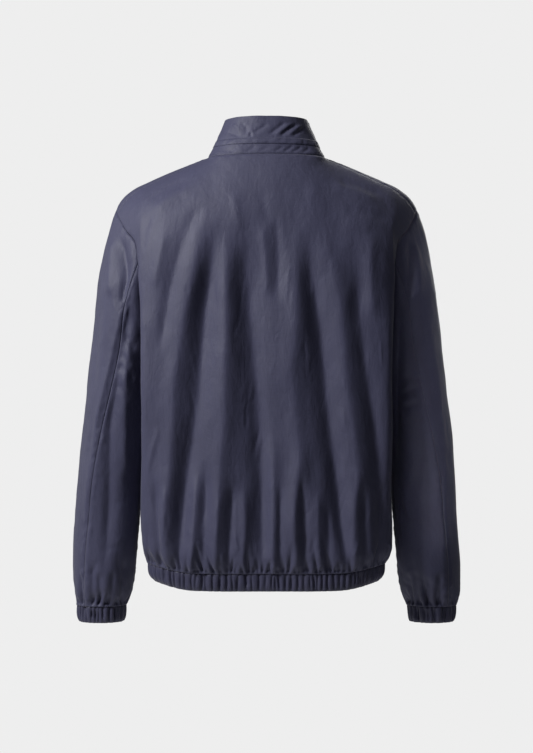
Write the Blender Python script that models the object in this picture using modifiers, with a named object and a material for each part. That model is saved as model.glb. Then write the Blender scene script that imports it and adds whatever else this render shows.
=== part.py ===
"""A zipped windbreaker with a stand collar and gathered elastic hem and cuffs.

The garment is filled out as if worn. It faces -Y and the wearer's left is at +X. The origin is the
middle of the neck opening at the height of the collar seam. Each cut piece of cloth is an open
surface that Solidify gives its thickness on the inner side, and neighbouring pieces share the points
of their seam, 0.3 mm apart. Sizes are in metres and angles in degrees.
"""

import math

import bmesh
import bpy
import numpy as np
from mathutils import Matrix, Vector

# Cloth and seams
SHELL_CLOTH = 0.0012
COLLAR_CLOTH = 0.0026
SEAM_GAP = 0.0003
PANEL_DRAW = 0.00022
SLEEVE_DRAW = 0.00062
LOWER_SLEEVE_DRAW = 0.00026
SEAM_ALLOWANCE = 0.05

# Torso: heights of the levels, and the level line of the hem, which rises towards the front
CHEST_Z = -0.200
UNDERARM_Z = -0.275
TILT_START_Z = -0.400
HEM_Z = -0.6555
HEM_SLOPE = 0.077
FRONT_EDGE_X = 0.006
FRONT_EASE_X = 0.090

# The places across a half panel of its guide lines, from the middle to the armhole or side seam
GUIDES = (0.0, 0.33, 0.57, 0.75, 0.88, 1.0)
RIDGE_GUIDE = 0.75
NECK_GUIDE = 0.36
TURN_IN = 0.68
TURN_BACK = 0.42

# Half sections of the torso. The back ridge is the fold that stands out behind the sleeve, and the
# side seam lies further in, where the sleeve presses on it.
SECTION_COLUMNS = (
    "z", "back", "back_ridge_x", "back_ridge_y", "side_x", "front", "front_ridge_x", "front_ridge_y"
)
SECTIONS = (
    (-0.200, 0.1130, 0.1990, 0.0870, 0.1690, 0.1180, 0.1990, 0.0850),
    (-0.275, 0.1145, 0.1960, 0.0910, 0.1675, 0.1200, 0.1960, 0.0890),
    (-0.305, 0.1145, 0.1952, 0.0915, 0.1615, 0.1200, 0.1952, 0.0890),
    (-0.345, 0.1145, 0.1948, 0.0920, 0.1610, 0.1200, 0.1945, 0.0890),
    (-0.400, 0.1140, 0.1945, 0.0910, 0.1710, 0.1190, 0.1945, 0.0880),
    (-0.470, 0.1135, 0.1945, 0.0870, 0.1840, 0.1180, 0.1945, 0.0850),
    (-0.540, 0.1135, 0.1945, 0.0800, 0.1905, 0.1170, 0.1940, 0.0800),
    (-0.600, 0.1145, 0.1950, 0.0700, 0.1940, 0.1170, 0.1940, 0.0720),
    (-0.635, 0.1130, 0.1930, 0.0620, 0.1925, 0.1150, 0.1920, 0.0640),
    (-0.650, 0.1090, 0.1890, 0.0560, 0.1895, 0.1110, 0.1885, 0.0580),
    (-0.6555, 0.1060, 0.1865, 0.0540, 0.1875, 0.1080, 0.1860, 0.0550),
)

# Shoulder: the top line of the silhouette, and how far behind it the seam lies
SHOULDER_COLUMNS = ("x", "z")
SHOULDER = (
    (0.0926, -0.0050),
    (0.1380, -0.0245),
    (0.1800, -0.0420),
    (0.2120, -0.0585),
    (0.2296, -0.0745),
    (0.2409, -0.0915),
)
SHOULDER_SEAM_Y = 0.022
ARMHOLE_SEAM_Y = 0.017
SHOULDER_ARCH_DEPTH = 0.105

# Neck seam: half width, and the middle of the back and of the front
NECK_HALF_WIDTH = 0.0926
NECK_BACK = (0.070, -0.0076)
NECK_FRONT = (-0.085, -0.075)
NECK_BACK_SLOPE = 34.0
NECK_FRONT_SLOPE = 26.0

# Armhole loop, from the shoulder over the back to the underarm, as angle, x, y and z
ARMHOLE = (
    (0.0, 0.2409, 0.0000, -0.0915),
    (46.0, 0.2218, 0.0480, -0.1260),
    (69.0, 0.2055, 0.0670, -0.1480),
    (87.0, 0.2015, 0.0735, -0.1780),
    (111.0, 0.1905, 0.0660, -0.2150),
    (145.0, 0.1770, 0.0400, -0.2550),
    (180.0, 0.1675, 0.0000, -0.2750),
)
ARMHOLE_FRONT_FULLNESS = 0.97

# Mesh rows and columns of the torso panels
YOKE_ROWS = 6
NECK_COLUMNS = 6
ARMHOLE_SIDE_COLUMNS = 10
EDGE_STRIP = 0.988
ARMHOLE_HEIGHTS = (-0.225, -0.248, -0.267, -0.275)
BODY_HEIGHTS = (
    -0.310, -0.350, -0.395, -0.440, -0.485, -0.530, -0.570, -0.603, -0.628, -0.645, -0.652, -0.6555
)

# Sleeve rings. The first is the oval nearest to the armhole, and the tilt lifts the outer side.
SLEEVE_COLUMNS = ("x", "y", "z", "half_width", "half_depth", "tilt")
SLEEVE = (
    (0.2042, 0.000, -0.1833, 0.0985, 0.0735, 68.0),
    (0.2130, 0.000, -0.2105, 0.0800, 0.0735, 58.0),
    (0.2188, 0.000, -0.2405, 0.0682, 0.0725, 47.0),
    (0.2243, 0.000, -0.3165, 0.0570, 0.0690, 18.0),
    (0.2315, 0.000, -0.3750, 0.0545, 0.0670, 4.0),
    (0.2420, -0.002, -0.4500, 0.0525, 0.0630, 0.0),
    (0.2508, -0.005, -0.5230, 0.0512, 0.0590, 0.0),
    (0.2547, -0.008, -0.5870, 0.0505, 0.0550, 0.0),
    (0.2601, -0.010, -0.6510, 0.0497, 0.0520, 0.0),
    (0.2617, -0.011, -0.6850, 0.0482, 0.0500, 0.0),
    (0.2632, -0.012, -0.7050, 0.0458, 0.0470, 0.0),
    (0.2646, -0.012, -0.7180, 0.0420, 0.0420, 0.0),
    (0.2653, -0.012, -0.7235, 0.0405, 0.0400, 0.0),
)
SLEEVE_UPPER_HEIGHTS = (-0.1833, -0.193, -0.212, -0.2405, -0.276, -0.3165, -0.350)
SLEEVE_LOWER_HEIGHTS = (
    -0.390, -0.435, -0.480, -0.523, -0.566, -0.610, -0.651, -0.682, -0.703, -0.719, -0.7235
)
ARMHOLE_FADE_Z = -0.262
BACK_SEAM_ROW = 5
SLEEVE_STRIP = 0.12
SLEEVE_SEAM_COLUMNS = ("z", "back_seam", "underarm_seam")
SLEEVE_SEAMS = (
    (-0.1833, 88.0, 180.0),
    (-0.2405, 87.0, 180.0),
    (-0.3165, 83.0, 182.0),
    (-0.4500, 68.0, 184.0),
    (-0.5870, 58.0, 186.0),
    (-0.7235, 54.0, 186.0),
)

# Elastic hem band and cuffs: cloth gathered over elastic
BAND_HEIGHT = 0.026
BAND_WALL = 0.0028
BAND_GATHERS = 112
GATHER_DEPTH = 0.0010
CUFF_HEIGHT = 0.0256
CUFF_WALL = 0.0026
CUFF_GATHERS = 32

# Collar: a stand of double cloth, narrower at its top edge, open at the front for the zip
COLLAR_TOP_HALF_WIDTH = 0.0668
COLLAR_TOP_BACK = (0.0520, 0.0535)
COLLAR_TOP_FRONT = (-0.0740, -0.0020)
COLLAR_ROWS = 6
WELT_LOW = 0.27
WELT_HIGH = 0.42
WELT_CLOTH = 0.0010

# Zip: two tapes behind the front edges, each with its half of the chain, a slider and its pull
TAPE_CLOTH = 0.0009
TAPE_OUTER_X = 0.0125
TAPE_LEAN = 0.0006
COLLAR_TAPE_LEAN = 0.0013
CHAIN_HALF_WIDTH = 0.0030
CHAIN_RISE = 0.0012
CHAIN_GAP_X = 0.0003
PARTED_GAP_X = 0.0018
PARTED_LENGTH = 0.010
SLIDER_WIDTH = 0.0090
SLIDER_LENGTH = 0.0115
SLIDER_PLATE = 0.0014
SLIDER_DOWN = 0.0090
WEDGE_WIDTH = 0.0022
WEDGE_LENGTH = 0.0030
LUG_X = 0.0031
LUG_WIDTH = 0.0010
LUG_HEIGHT = 0.0024
LUG_BEYOND = 0.0011
LUG_ROOT = 0.0004
BAIL_RADIUS = 0.0007
BAIL_STANDOFF = 0.0023
PULL_WIDTH = 0.0044
PULL_LENGTH = 0.0230
PULL_THICKNESS = 0.0012
PULL_EYE_RADIUS = 0.0019
PULL_HOLE_RADIUS = 0.0011

# Long folds of the back and the fronts, as x and z of the upper end, x and z of the lower end, how
# far it bows sideways, half width, and height (hollows negative)
BACK_FOLDS = (
    (0.081, -0.077, 0.168, -0.331, 0.018, 0.013, -0.0030),
    (0.084, -0.092, 0.154, -0.642, 0.023, 0.018, 0.0050),
    (0.073, -0.105, 0.136, -0.640, 0.000, 0.018, -0.0080),
    (0.063, -0.117, 0.078, -0.630, -0.006, 0.019, 0.0065),
    (0.032, -0.108, 0.007, -0.640, -0.004, 0.020, -0.0070),
    (-0.046, -0.117, -0.045, -0.640, 0.003, 0.020, 0.0055),
    (-0.060, -0.117, -0.124, -0.640, 0.000, 0.017, -0.0075),
    (-0.080, -0.122, -0.138, -0.640, -0.018, 0.018, 0.0040),
    (-0.141, -0.190, -0.178, -0.600, -0.002, 0.016, -0.0042),
)
FRONT_FOLDS = (
    (0.120, -0.110, 0.074, -0.610, 0.006, 0.021, -0.0060),
    (0.148, -0.130, 0.110, -0.640, 0.004, 0.020, 0.0050),
    (0.072, -0.160, 0.044, -0.640, 0.000, 0.020, 0.0035),
    (-0.112, -0.100, -0.064, -0.600, -0.006, 0.020, -0.0055),
    (-0.142, -0.140, -0.096, -0.640, -0.004, 0.021, 0.0055),
    (-0.165, -0.260, -0.142, -0.620, 0.000, 0.018, -0.0035),
)
FOLD_END = 0.090
FOLD_EDGE_FADE = 0.12

# Long folds of a sleeve, as angle and ring height of the upper and of the lower end, half width in
# degrees, and height (hollows negative)
SLEEVE_FOLDS = (
    (60.0, -0.215, 36.0, -0.420, 15.0, -0.0045),
    (28.0, -0.230, 12.0, -0.640, 16.0, 0.0030),
    (118.0, -0.300, 96.0, -0.680, 17.0, -0.0035),
    (96.0, -0.360, 122.0, -0.500, 12.0, 0.0030),
    (270.0, -0.230, 300.0, -0.460, 18.0, -0.0045),
    (318.0, -0.300, 330.0, -0.680, 18.0, 0.0030),
    (235.0, -0.380, 262.0, -0.520, 14.0, 0.0035),
    (290.0, -0.480, 272.0, -0.690, 16.0, -0.0030),
)
SLEEVE_FOLD_END = 0.060

COLLECTION = "windbreaker"
HELPERS = "cutters"


class Curve:
    """A smooth curve through each value at its stop."""

    def __init__(self, stops, values):
        stops = np.asarray(stops, float)
        values = np.asarray(values, float)
        order = np.argsort(stops)
        self.stops = stops[order]
        self.values = values[order]
        self.slopes = np.gradient(self.values, self.stops, axis=0)

    def __call__(self, at):
        i = min(max(int(np.searchsorted(self.stops, at, side="right")) - 1, 0), len(self.stops) - 2)
        span = self.stops[i + 1] - self.stops[i]
        u = (at - self.stops[i]) / span
        start = self.values[i] * (1 + 2 * u) + self.slopes[i] * span * u
        end = self.values[i + 1] * (3 - 2 * u) + self.slopes[i + 1] * span * (u - 1)
        return start * (1 - u) ** 2 + end * u * u


def curve_of(table, names, stop, *wanted):
    """The curve of the wanted columns of a table over its stop column."""
    stops = [row[names.index(stop)] for row in table]
    values = [[row[names.index(name)] for name in wanted] for row in table]
    return Curve(stops, values if len(wanted) > 1 else [v[0] for v in values])


def smooth(u):
    """Ease from 0 to 1."""
    u = min(max(u, 0.0), 1.0)
    return u * u * (3 - 2 * u)


def sine(degrees):
    return math.sin(math.radians(degrees))


def cosine(degrees):
    return math.cos(math.radians(degrees))


# ---- Torso surface -------------------------------------------------------------------------------


def armhole_loop():
    """The armhole as one closed curve, over the angle from the shoulder down the back."""
    front = [(-a, x, -y * ARMHOLE_FRONT_FULLNESS, z) for a, x, y, z in ARMHOLE[1:]]
    back = list(ARMHOLE)
    beyond = [(a + 360, x, y, z) for a, x, y, z in front[:-1]]
    before = [(a - 360, x, y, z) for a, x, y, z in back[1:-1]]
    rows = before + front + back + beyond
    return Curve([row[0] for row in rows], [row[1:] for row in rows])


ARMHOLE_LOOP = armhole_loop()
BACK_ANGLES = np.linspace(0.0, 180.0, 721)
BACK_LOOP = np.array([ARMHOLE_LOOP(angle) for angle in BACK_ANGLES])


def armhole(angle):
    """A point of the armhole: positive angles run down the back and negative ones down the front."""
    return ARMHOLE_LOOP(angle)


def armhole_angle_at(z):
    """The angle, behind the shoulder, at which the armhole passes this height."""
    return float(np.interp(-z, -BACK_LOOP[:, 2], BACK_ANGLES))


SHOULDER_ANGLE = float(np.interp(ARMHOLE_SEAM_Y, BACK_LOOP[:240, 1], BACK_ANGLES[:240]))
CHEST_ANGLE = armhole_angle_at(CHEST_Z)
SIDE_SEAM = curve_of(SECTIONS, SECTION_COLUMNS, "z", "side_x")
HALF_SECTION = {
    1: curve_of(SECTIONS, SECTION_COLUMNS, "z", "back", "back_ridge_x", "back_ridge_y"),
    -1: curve_of(SECTIONS, SECTION_COLUMNS, "z", "front", "front_ridge_x", "front_ridge_y"),
}
CREST = curve_of(SHOULDER, SHOULDER_COLUMNS, "x", "z")


def panel_edge(face, z):
    """The outer end of a level: on the armhole above the underarm, and on the side seam below it."""
    if z > UNDERARM_Z:
        return armhole(face * armhole_angle_at(z))
    return np.array([SIDE_SEAM(z), 0.0, z])


def section_point(face, t, z):
    """A point of the level section at height z: face is 1 for the back and -1 for the front."""
    depth, ridge_x, ridge_y = HALF_SECTION[face](z)
    edge = panel_edge(face, z)
    guides = np.array(
        [
            (0.0, depth, z),
            (0.50 * ridge_x, depth * 0.985, z),
            (0.84 * ridge_x, ridge_y + 0.66 * (depth - ridge_y), z),
            (ridge_x, ridge_y, z),
            (ridge_x + TURN_IN * (edge[0] - ridge_x), ridge_y + TURN_BACK * (face * edge[1] - ridge_y), z),
            (edge[0], face * edge[1], edge[2]),
        ]
    )
    point = Curve(GUIDES, guides)(t)
    point[1] *= face
    tilt = smooth((TILT_START_Z - z) / (TILT_START_Z - HEM_Z))
    point[2] -= HEM_SLOPE * tilt * point[1]
    return point


def shoulder_seam_z(x, y):
    """The height of the shoulder arch behind its crest."""
    crest = CREST(x)
    return crest - (crest - CHEST_Z) * (1 - math.sqrt(1 - (y / SHOULDER_ARCH_DEPTH) ** 2))


def neck_point(face, turn):
    """The neck seam: turn runs from 0 at the middle of the back or front to 1 at the shoulder."""
    middle = NECK_BACK if face > 0 else NECK_FRONT
    side_z = shoulder_seam_z(NECK_HALF_WIDTH, SHOULDER_SEAM_Y)
    angle = 90.0 * turn
    power = 0.92
    x = NECK_HALF_WIDTH * sine(angle) ** power
    y = SHOULDER_SEAM_Y + (middle[0] - SHOULDER_SEAM_Y) * cosine(angle) ** power
    z = side_z + (middle[1] - side_z) * cosine(angle) ** (1.0 if face > 0 else 1.35)
    return np.array([x, y, z])


def top_edge(face, t):
    """The upper edge of a panel: the neck seam, then the shoulder seam out to the armhole."""
    if t <= NECK_GUIDE:
        return neck_point(face, t / NECK_GUIDE)
    out = (t - NECK_GUIDE) / (1 - NECK_GUIDE)
    tip = armhole(SHOULDER_ANGLE)
    x = NECK_HALF_WIDTH + (tip[0] - NECK_HALF_WIDTH) * out**0.94
    y = SHOULDER_SEAM_Y + (tip[1] - SHOULDER_SEAM_Y) * out
    z = shoulder_seam_z(x, y) + (tip[2] - shoulder_seam_z(tip[0], tip[1])) * out**6
    return np.array([x, y, z])


def front_inset(face, point):
    """The fronts end at the zip, a little to the side of the middle."""
    if face < 0 and point[0] < FRONT_EASE_X:
        point[0] = FRONT_EDGE_X + point[0] * (1 - FRONT_EDGE_X / FRONT_EASE_X)
    return point


def torso(face, t, v):
    """The torso surface on the wearer's left: v is 0 on the top edge, 1 at the chest and then -z."""
    if v > 1:
        return front_inset(face, section_point(face, t, 1 - v + CHEST_Z))
    start = top_edge(face, t)
    foot = section_point(face, t, CHEST_Z)

    def dome(begin, end, first):
        w = first + (90.0 - first) * v
        rise = (sine(w) - sine(first)) / (1 - sine(first))
        fall = (cosine(first) - cosine(w)) / cosine(first)
        return np.array(
            [
                begin[0] + (end[0] - begin[0]) * v,
                begin[1] + (end[1] - begin[1]) * rise,
                begin[2] + (end[2] - begin[2]) * fall,
            ]
        )

    seam_slope = math.degrees(math.asin(SHOULDER_SEAM_Y / abs(foot[1]))) * face
    middle_slope = NECK_BACK_SLOPE if face > 0 else NECK_FRONT_SLOPE
    first = seam_slope + (middle_slope - seam_slope) * smooth(1 - t / NECK_GUIDE)
    point = dome(start, foot, first)
    if t > RIDGE_GUIDE:
        end_start = top_edge(face, 1.0)
        end_foot = section_point(face, 1.0, CHEST_Z)
        end_first = math.degrees(math.asin(SHOULDER_SEAM_Y / abs(end_foot[1]))) * face
        seam = armhole(SHOULDER_ANGLE + (face * CHEST_ANGLE - SHOULDER_ANGLE) * v)
        pull = smooth((t - RIDGE_GUIDE) / (1 - RIDGE_GUIDE))
        point += pull * (seam - dome(end_start, end_foot, end_first))
    return front_inset(face, point)


def fold_height(folds, x, z):
    """How far the folds of a table lift the cloth at a place."""
    total = 0.0
    for x_top, z_top, x_low, z_low, bow, half_width, depth in folds:
        u = (z_top - z) / (z_top - z_low)
        path = x_top + (x_low - x_top) * u + bow * 4 * u * (1 - u)
        ends = smooth((z_top - z) / FOLD_END + 0.3) * smooth((z - z_low) / (0.5 * FOLD_END) + 0.4)
        total += depth * ends * math.exp(-(((x - path) / half_width) ** 2))
    return total


FOLD_DOWN = Curve(
    (0.0, 0.3, 0.6, 1.0, 1.06, 1.41, 1 + CHEST_Z - HEM_Z), (0.0, 0.05, 0.3, 0.9, 1.0, 1.0, 0.0)
)


def torso_wall_point(face, side, t, v, folds):
    """The torso surface with its folds, on the wearer's left (side 1) or right (side -1)."""
    step = 1e-3
    point = torso(face, t, v)
    along = torso(face, min(t + step, 1.0), v) - torso(face, max(t - step, 0.0), v)
    down = torso(face, t, v + step * 0.1) - torso(face, t, max(v - step * 0.1, 0.0))
    normal = np.cross(along, down) * face
    normal /= max(np.linalg.norm(normal), 1e-12)
    across = smooth((1 - t) / FOLD_EDGE_FADE) * (smooth(t / FOLD_EDGE_FADE) if face < 0 else 1.0)
    height = FOLD_DOWN(min(v, 1 + CHEST_Z - HEM_Z))
    lift = fold_height(folds, side * point[0], point[2]) * across * height
    point = point + normal * lift
    point[0] *= side
    return point


# ---- Sleeve surface ------------------------------------------------------------------------------


SLEEVE_RINGS = curve_of(SLEEVE, SLEEVE_COLUMNS, "z", *SLEEVE_COLUMNS)
SLEEVE_SEAM = {
    name: curve_of(SLEEVE_SEAMS, SLEEVE_SEAM_COLUMNS, "z", name) for name in SLEEVE_SEAM_COLUMNS[1:]
}


def ring_point(angle, z):
    x, y, centre_z, half_width, half_depth, tilt = SLEEVE_RINGS(z)
    out = half_width * cosine(angle)
    return np.array([x + out * cosine(tilt), y + half_depth * sine(angle), centre_z + out * sine(tilt)])


def sleeve(angle, z, loop_point, loop_angle):
    """The left sleeve's surface: the column that starts at loop_point of the armhole."""
    top = SLEEVE[0][2]
    point = ring_point(angle, z)
    stay = smooth((z - ARMHOLE_FADE_Z) / (top - ARMHOLE_FADE_Z))
    if stay > 0:
        point = point + stay * (loop_point - ring_point(loop_angle, top))
    return point


def sleeve_fold_height(angle, z):
    total = 0.0
    for angle_top, z_top, angle_low, z_low, half_width, depth in SLEEVE_FOLDS:
        u = (z_top - z) / (z_top - z_low)
        path = angle_top + (angle_low - angle_top) * u
        ends = smooth((z_top - z) / SLEEVE_FOLD_END) * smooth((z - z_low) / SLEEVE_FOLD_END)
        away = (angle - path + 180.0) % 360.0 - 180.0
        total += depth * ends * math.exp(-((away / half_width) ** 2))
    return total


# ---- Mesh makers ---------------------------------------------------------------------------------


def material(name, colour, roughness, metallic=0.0):
    made = bpy.data.materials.new(name)
    made.use_nodes = True
    shader = made.node_tree.nodes["Principled BSDF"]
    shader.inputs["Base Color"].default_value = (*colour, 1.0)
    shader.inputs["Roughness"].default_value = roughness
    shader.inputs["Metallic"].default_value = metallic
    return made


def add_object(name, mesh, finish):
    mesh.materials.append(finish)
    made = bpy.data.objects.new(name, mesh)
    bpy.data.collections[COLLECTION].objects.link(made)
    return made


def lofted_sheet(name, rows, finish, outward, middle_column):
    """An open surface through rows of points, with its normals on the same side as outward.

    Each cell is split along the diagonal that runs down and away from the middle column, as the
    folds do.
    """
    shape = bmesh.new()
    grid = [[shape.verts.new(point) for point in row] for row in rows]
    for upper, lower in zip(grid, grid[1:]):
        for i in range(len(upper) - 1):
            cell = (upper[i], lower[i], lower[i + 1], upper[i + 1])
            a, b, c, d = cell[1:] + cell[:1] if i < middle_column else cell
            shape.faces.new((a, b, c))
            shape.faces.new((a, c, d))
    shape.normal_update()
    facing = sum((face.normal * face.calc_area() for face in shape.faces), Vector())
    if facing.dot(outward) < 0:
        bmesh.ops.reverse_faces(shape, faces=shape.faces[:])
    mesh = bpy.data.meshes.new(name)
    shape.to_mesh(mesh)
    shape.free()
    mesh.shade_smooth()
    return add_object(name, mesh, finish)


def cloth_panel(name, rows, finish, outward, thickness, middle_column=0):
    """A cut piece of cloth: the surface through its points, thickened on the inner side."""
    made = lofted_sheet(name, rows, finish, outward, middle_column)
    solidify = made.modifiers.new("cloth", "SOLIDIFY")
    solidify.thickness = thickness
    solidify.offset = -1.0
    return made


def ring_of_sections(name, sections, finish, closed):
    """A solid lofted through equal closed sections, joined end to end or capped."""
    shape = bmesh.new()
    loops = [[shape.verts.new(point) for point in section] for section in sections]
    pairs = list(zip(loops, loops[1:] + loops[:1])) if closed else list(zip(loops, loops[1:]))
    count = len(loops[0])
    for near, far in pairs:
        for i in range(count):
            j = (i + 1) % count
            shape.faces.new((near[i], near[j], far[j], far[i]))
    if not closed:
        shape.faces.new(loops[0][::-1])
        shape.faces.new(loops[-1])
    bmesh.ops.recalc_face_normals(shape, faces=shape.faces[:])
    mesh = bpy.data.meshes.new(name)
    shape.to_mesh(mesh)
    shape.free()
    mesh.shade_smooth()
    return add_object(name, mesh, finish)


# ---- Torso panels --------------------------------------------------------------------------------


def panel_columns():
    """Places across a half panel, with a narrow strip at the armhole and side seam."""
    neck = [NECK_GUIDE * i / NECK_COLUMNS for i in range(NECK_COLUMNS)]
    steps = [i / ARMHOLE_SIDE_COLUMNS for i in range(ARMHOLE_SIDE_COLUMNS)]
    shoulder = [NECK_GUIDE + (1 - NECK_GUIDE) * step for step in steps]
    return neck + shoulder + [EDGE_STRIP, 1.0]


def panel_rows():
    """Places down a panel: the yoke, the armhole below the chest, and the body down to the hem."""
    yoke = [0.0, SEAM_ALLOWANCE] + [i / YOKE_ROWS for i in range(1, YOKE_ROWS + 1)]
    return yoke + [1 + CHEST_Z - z for z in ARMHOLE_HEIGHTS + BODY_HEIGHTS]


def back_panel(finish):
    columns = panel_columns()
    rows = []
    for v in panel_rows():
        left = [torso_wall_point(1, 1, t, v, BACK_FOLDS) for t in reversed(columns)]
        right = [torso_wall_point(1, -1, t, v, BACK_FOLDS) for t in columns[1:]]
        rows.append(left + right)
    rows = part_at_seams(rows, [PANEL_DRAW] * len(rows))
    return cloth_panel("back", rows, finish, (0, 1, 0), SHELL_CLOTH, middle_column=len(columns) - 1)


def front_panel(name, side, finish):
    columns = panel_columns()
    rows = [[torso_wall_point(-1, side, t, v, FRONT_FOLDS) for t in columns] for v in panel_rows()]
    rows = part_at_seams(rows, [PANEL_DRAW] * len(rows))
    return cloth_panel(name, rows, finish, (0, -1, 0), SHELL_CLOTH, middle_column=len(columns) - 1)


def moved_towards(point, other, distance):
    step = other - point
    return point + step * (distance / max(np.linalg.norm(step), 1e-9))


def part_at_seams(rows, draws, ends=True):
    """Draws the edges of a panel in, so that neighbours lie the gap apart on their inner side too.

    There is one draw for each row.
    """
    rows = [[np.array(point, float) for point in row] for row in rows]
    rows[0] = [moved_towards(p, q, draws[0]) for p, q in zip(rows[0], rows[1])]
    rows[-1] = [moved_towards(p, q, draws[-1]) for p, q in zip(rows[-1], rows[-2])]
    if ends:
        for row, draw in zip(rows, draws):
            row[0], row[-1] = moved_towards(row[0], row[1], draw), moved_towards(row[-1], row[-2], draw)
    return rows


def sleeve_draws():
    """The draw of each row of a sleeve piece: larger near the armhole, where the seams turn sharply."""
    upper = [SLEEVE_DRAW] * len(SLEEVE_UPPER_HEIGHTS)
    return upper + [LOWER_SLEEVE_DRAW] * len(SLEEVE_LOWER_HEIGHTS)


# ---- Sleeves -------------------------------------------------------------------------------------


def armhole_angles():
    """The corners of the torso panels on the armhole, from the shoulder down the back and the front."""
    steps = [i / YOKE_ROWS for i in range(1, YOKE_ROWS + 1)]
    low = [armhole_angle_at(z) for z in ARMHOLE_HEIGHTS[:-1]]
    back = [SHOULDER_ANGLE + (CHEST_ANGLE - SHOULDER_ANGLE) * f for f in steps] + low
    front = [SHOULDER_ANGLE + (-CHEST_ANGLE - SHOULDER_ANGLE) * f for f in steps] + [-a for a in low]
    return back, front


def with_strips(values):
    """The values with a narrow strip marked off at both ends."""
    first = values[0] + SLEEVE_STRIP * (values[1] - values[0])
    last = values[-1] + SLEEVE_STRIP * (values[-2] - values[-1])
    return [values[0], first, *values[1:-1], last, values[-1]]


def sleeve_rows(side, loop_points, loop_angles, first_seam, last_seam):
    """Rows of points of a sleeve piece between two seams, each given by its name in the seam table."""
    even_shares = with_strips(list(np.linspace(0.0, 1.0, len(loop_points) - 2)))
    rows = []
    for z in SLEEVE_UPPER_HEIGHTS + SLEEVE_LOWER_HEIGHTS:
        begin = seam_angle(first_seam, z)
        end = seam_angle(last_seam, z)
        even = smooth((SLEEVE[0][2] - z) / 0.20)
        row = []
        for i, (loop_point, loop_angle) in enumerate(zip(loop_points, loop_angles)):
            share = (loop_angle - loop_angles[0]) / (loop_angles[-1] - loop_angles[0])
            share += even * (even_shares[i] - share)
            angle = begin + (end - begin) * share
            point = sleeve(angle, z, loop_point, loop_angle)
            lift = sleeve_fold_height(angle, z)
            centre = SLEEVE_RINGS(z)[:3]
            outward = point - centre
            point = point + outward / np.linalg.norm(outward) * lift
            row.append(point * np.array([side, 1.0, 1.0]))
        rows.append(row)
    return rows


def seam_angle(seam, z):
    name, turn = seam
    return SLEEVE_SEAM[name](z) + turn


def sleeve_pieces(side_name, side, finish):
    back, front = armhole_angles()
    split = BACK_SEAM_ROW - 1
    upper = back[: split + 1][::-1] + [SHOULDER_ANGLE] + front + [-180.0]
    under = back[split:] + [180.0]
    top_points = with_strips([armhole(a) for a in upper])
    top_angles = with_strips(upper)
    top_rows = sleeve_rows(side, top_points, top_angles, ("back_seam", 0.0), ("underarm_seam", -360.0))
    under_points = with_strips([armhole(a) for a in under])
    under_angles = with_strips(under)
    under_rows = sleeve_rows(side, under_points, under_angles, ("back_seam", 0.0), ("underarm_seam", 0.0))
    top_rows = part_at_seams(top_rows, sleeve_draws())
    under_rows = part_at_seams(under_rows, sleeve_draws())
    cloth_panel("sleeve_top_" + side_name, top_rows, finish, (side, 0, 0), SHELL_CLOTH)
    cloth_panel("sleeve_under_" + side_name, under_rows, finish, (-side, 0.5, 0), SHELL_CLOTH)


# ---- Gathered band and cuffs ---------------------------------------------------------------------


def gather_places(count):
    """The crests and hollows of the gathers along a band of length 1, unevenly spaced."""
    steps = np.arange(2 * count + 1) / (2 * count)
    wander = 0.0035 * np.sin(2 * math.pi * 5 * steps + 0.7) + 0.0022 * np.sin(2 * math.pi * 13 * steps)
    return steps + wander * np.sin(math.pi * steps)


def gathered_sections(route, closed, top, height, wall, gathers):
    """Sections along a route in plan: a plain inner face and an outer face raised at each gather."""
    places = gather_places(gathers)
    places = places[:-1] if closed else places
    sections = []
    for i, place in enumerate(places):
        x, y, out_x, out_y = route(place)
        crest = GATHER_DEPTH * (1.0 if i % 2 else -1.0) * (0.75 + 0.25 * math.sin(1.7 * i))
        profile = (
            (-wall, 0.0),
            (crest - 0.0006, 0.0),
            (crest, -0.30 * height),
            (crest, -0.75 * height),
            (crest - 0.0006, -height),
            (-wall, -height),
        )
        sections.append([(x + out_x * d, y + out_y * d, top(x, y) + dz) for d, dz in profile])
    return sections


def hem_outline():
    """Points of the hem in plan, from the left front edge round the back to the right front edge."""
    ts = np.linspace(0.0, 1.0, 60)
    front = [torso(-1, t, 1 + CHEST_Z - HEM_Z)[:2] for t in ts]
    back = [torso(1, t, 1 + CHEST_Z - HEM_Z)[:2] for t in ts[::-1][1:]]
    left = front + back
    right = [(-x, y) for x, y in left[::-1][1:]]
    return np.array(left + right)


def hem_band(finish):
    outline = hem_outline()
    lengths = np.concatenate(([0.0], np.cumsum(np.linalg.norm(np.diff(outline, axis=0), axis=1))))
    inset = GATHER_DEPTH + 0.0004
    step = 0.004

    def place_on(at):
        return np.array([np.interp(at, lengths, outline[:, k]) for k in (0, 1)])

    def route(place):
        at = place * lengths[-1]
        x, y = place_on(at)
        along = place_on(at + step) - place_on(at - step)
        along /= np.linalg.norm(along)
        return x - along[1] * inset, y + along[0] * inset, along[1], -along[0]

    def top(x, y):
        return HEM_Z - HEM_SLOPE * y - SEAM_GAP

    sections = gathered_sections(route, False, top, BAND_HEIGHT, BAND_WALL, BAND_GATHERS)
    return ring_of_sections("hem_band", sections, finish, closed=False)


def cuff(name, side, finish):
    x, y, z, half_width, half_depth, _ = SLEEVE[-1]
    inset = GATHER_DEPTH + 0.0003

    def route(place):
        angle = 360.0 * place
        out = np.array([cosine(angle) / half_width, sine(angle) / half_depth])
        out /= np.linalg.norm(out)
        px = x + half_width * cosine(angle) - out[0] * inset
        py = y + half_depth * sine(angle) - out[1] * inset
        return side * px, py, side * out[0], out[1]

    def top(px, py):
        return z - SEAM_GAP

    sections = gathered_sections(route, True, top, CUFF_HEIGHT, CUFF_WALL, CUFF_GATHERS)
    return ring_of_sections(name, sections, finish, closed=True)


# ---- Collar --------------------------------------------------------------------------------------


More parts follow.
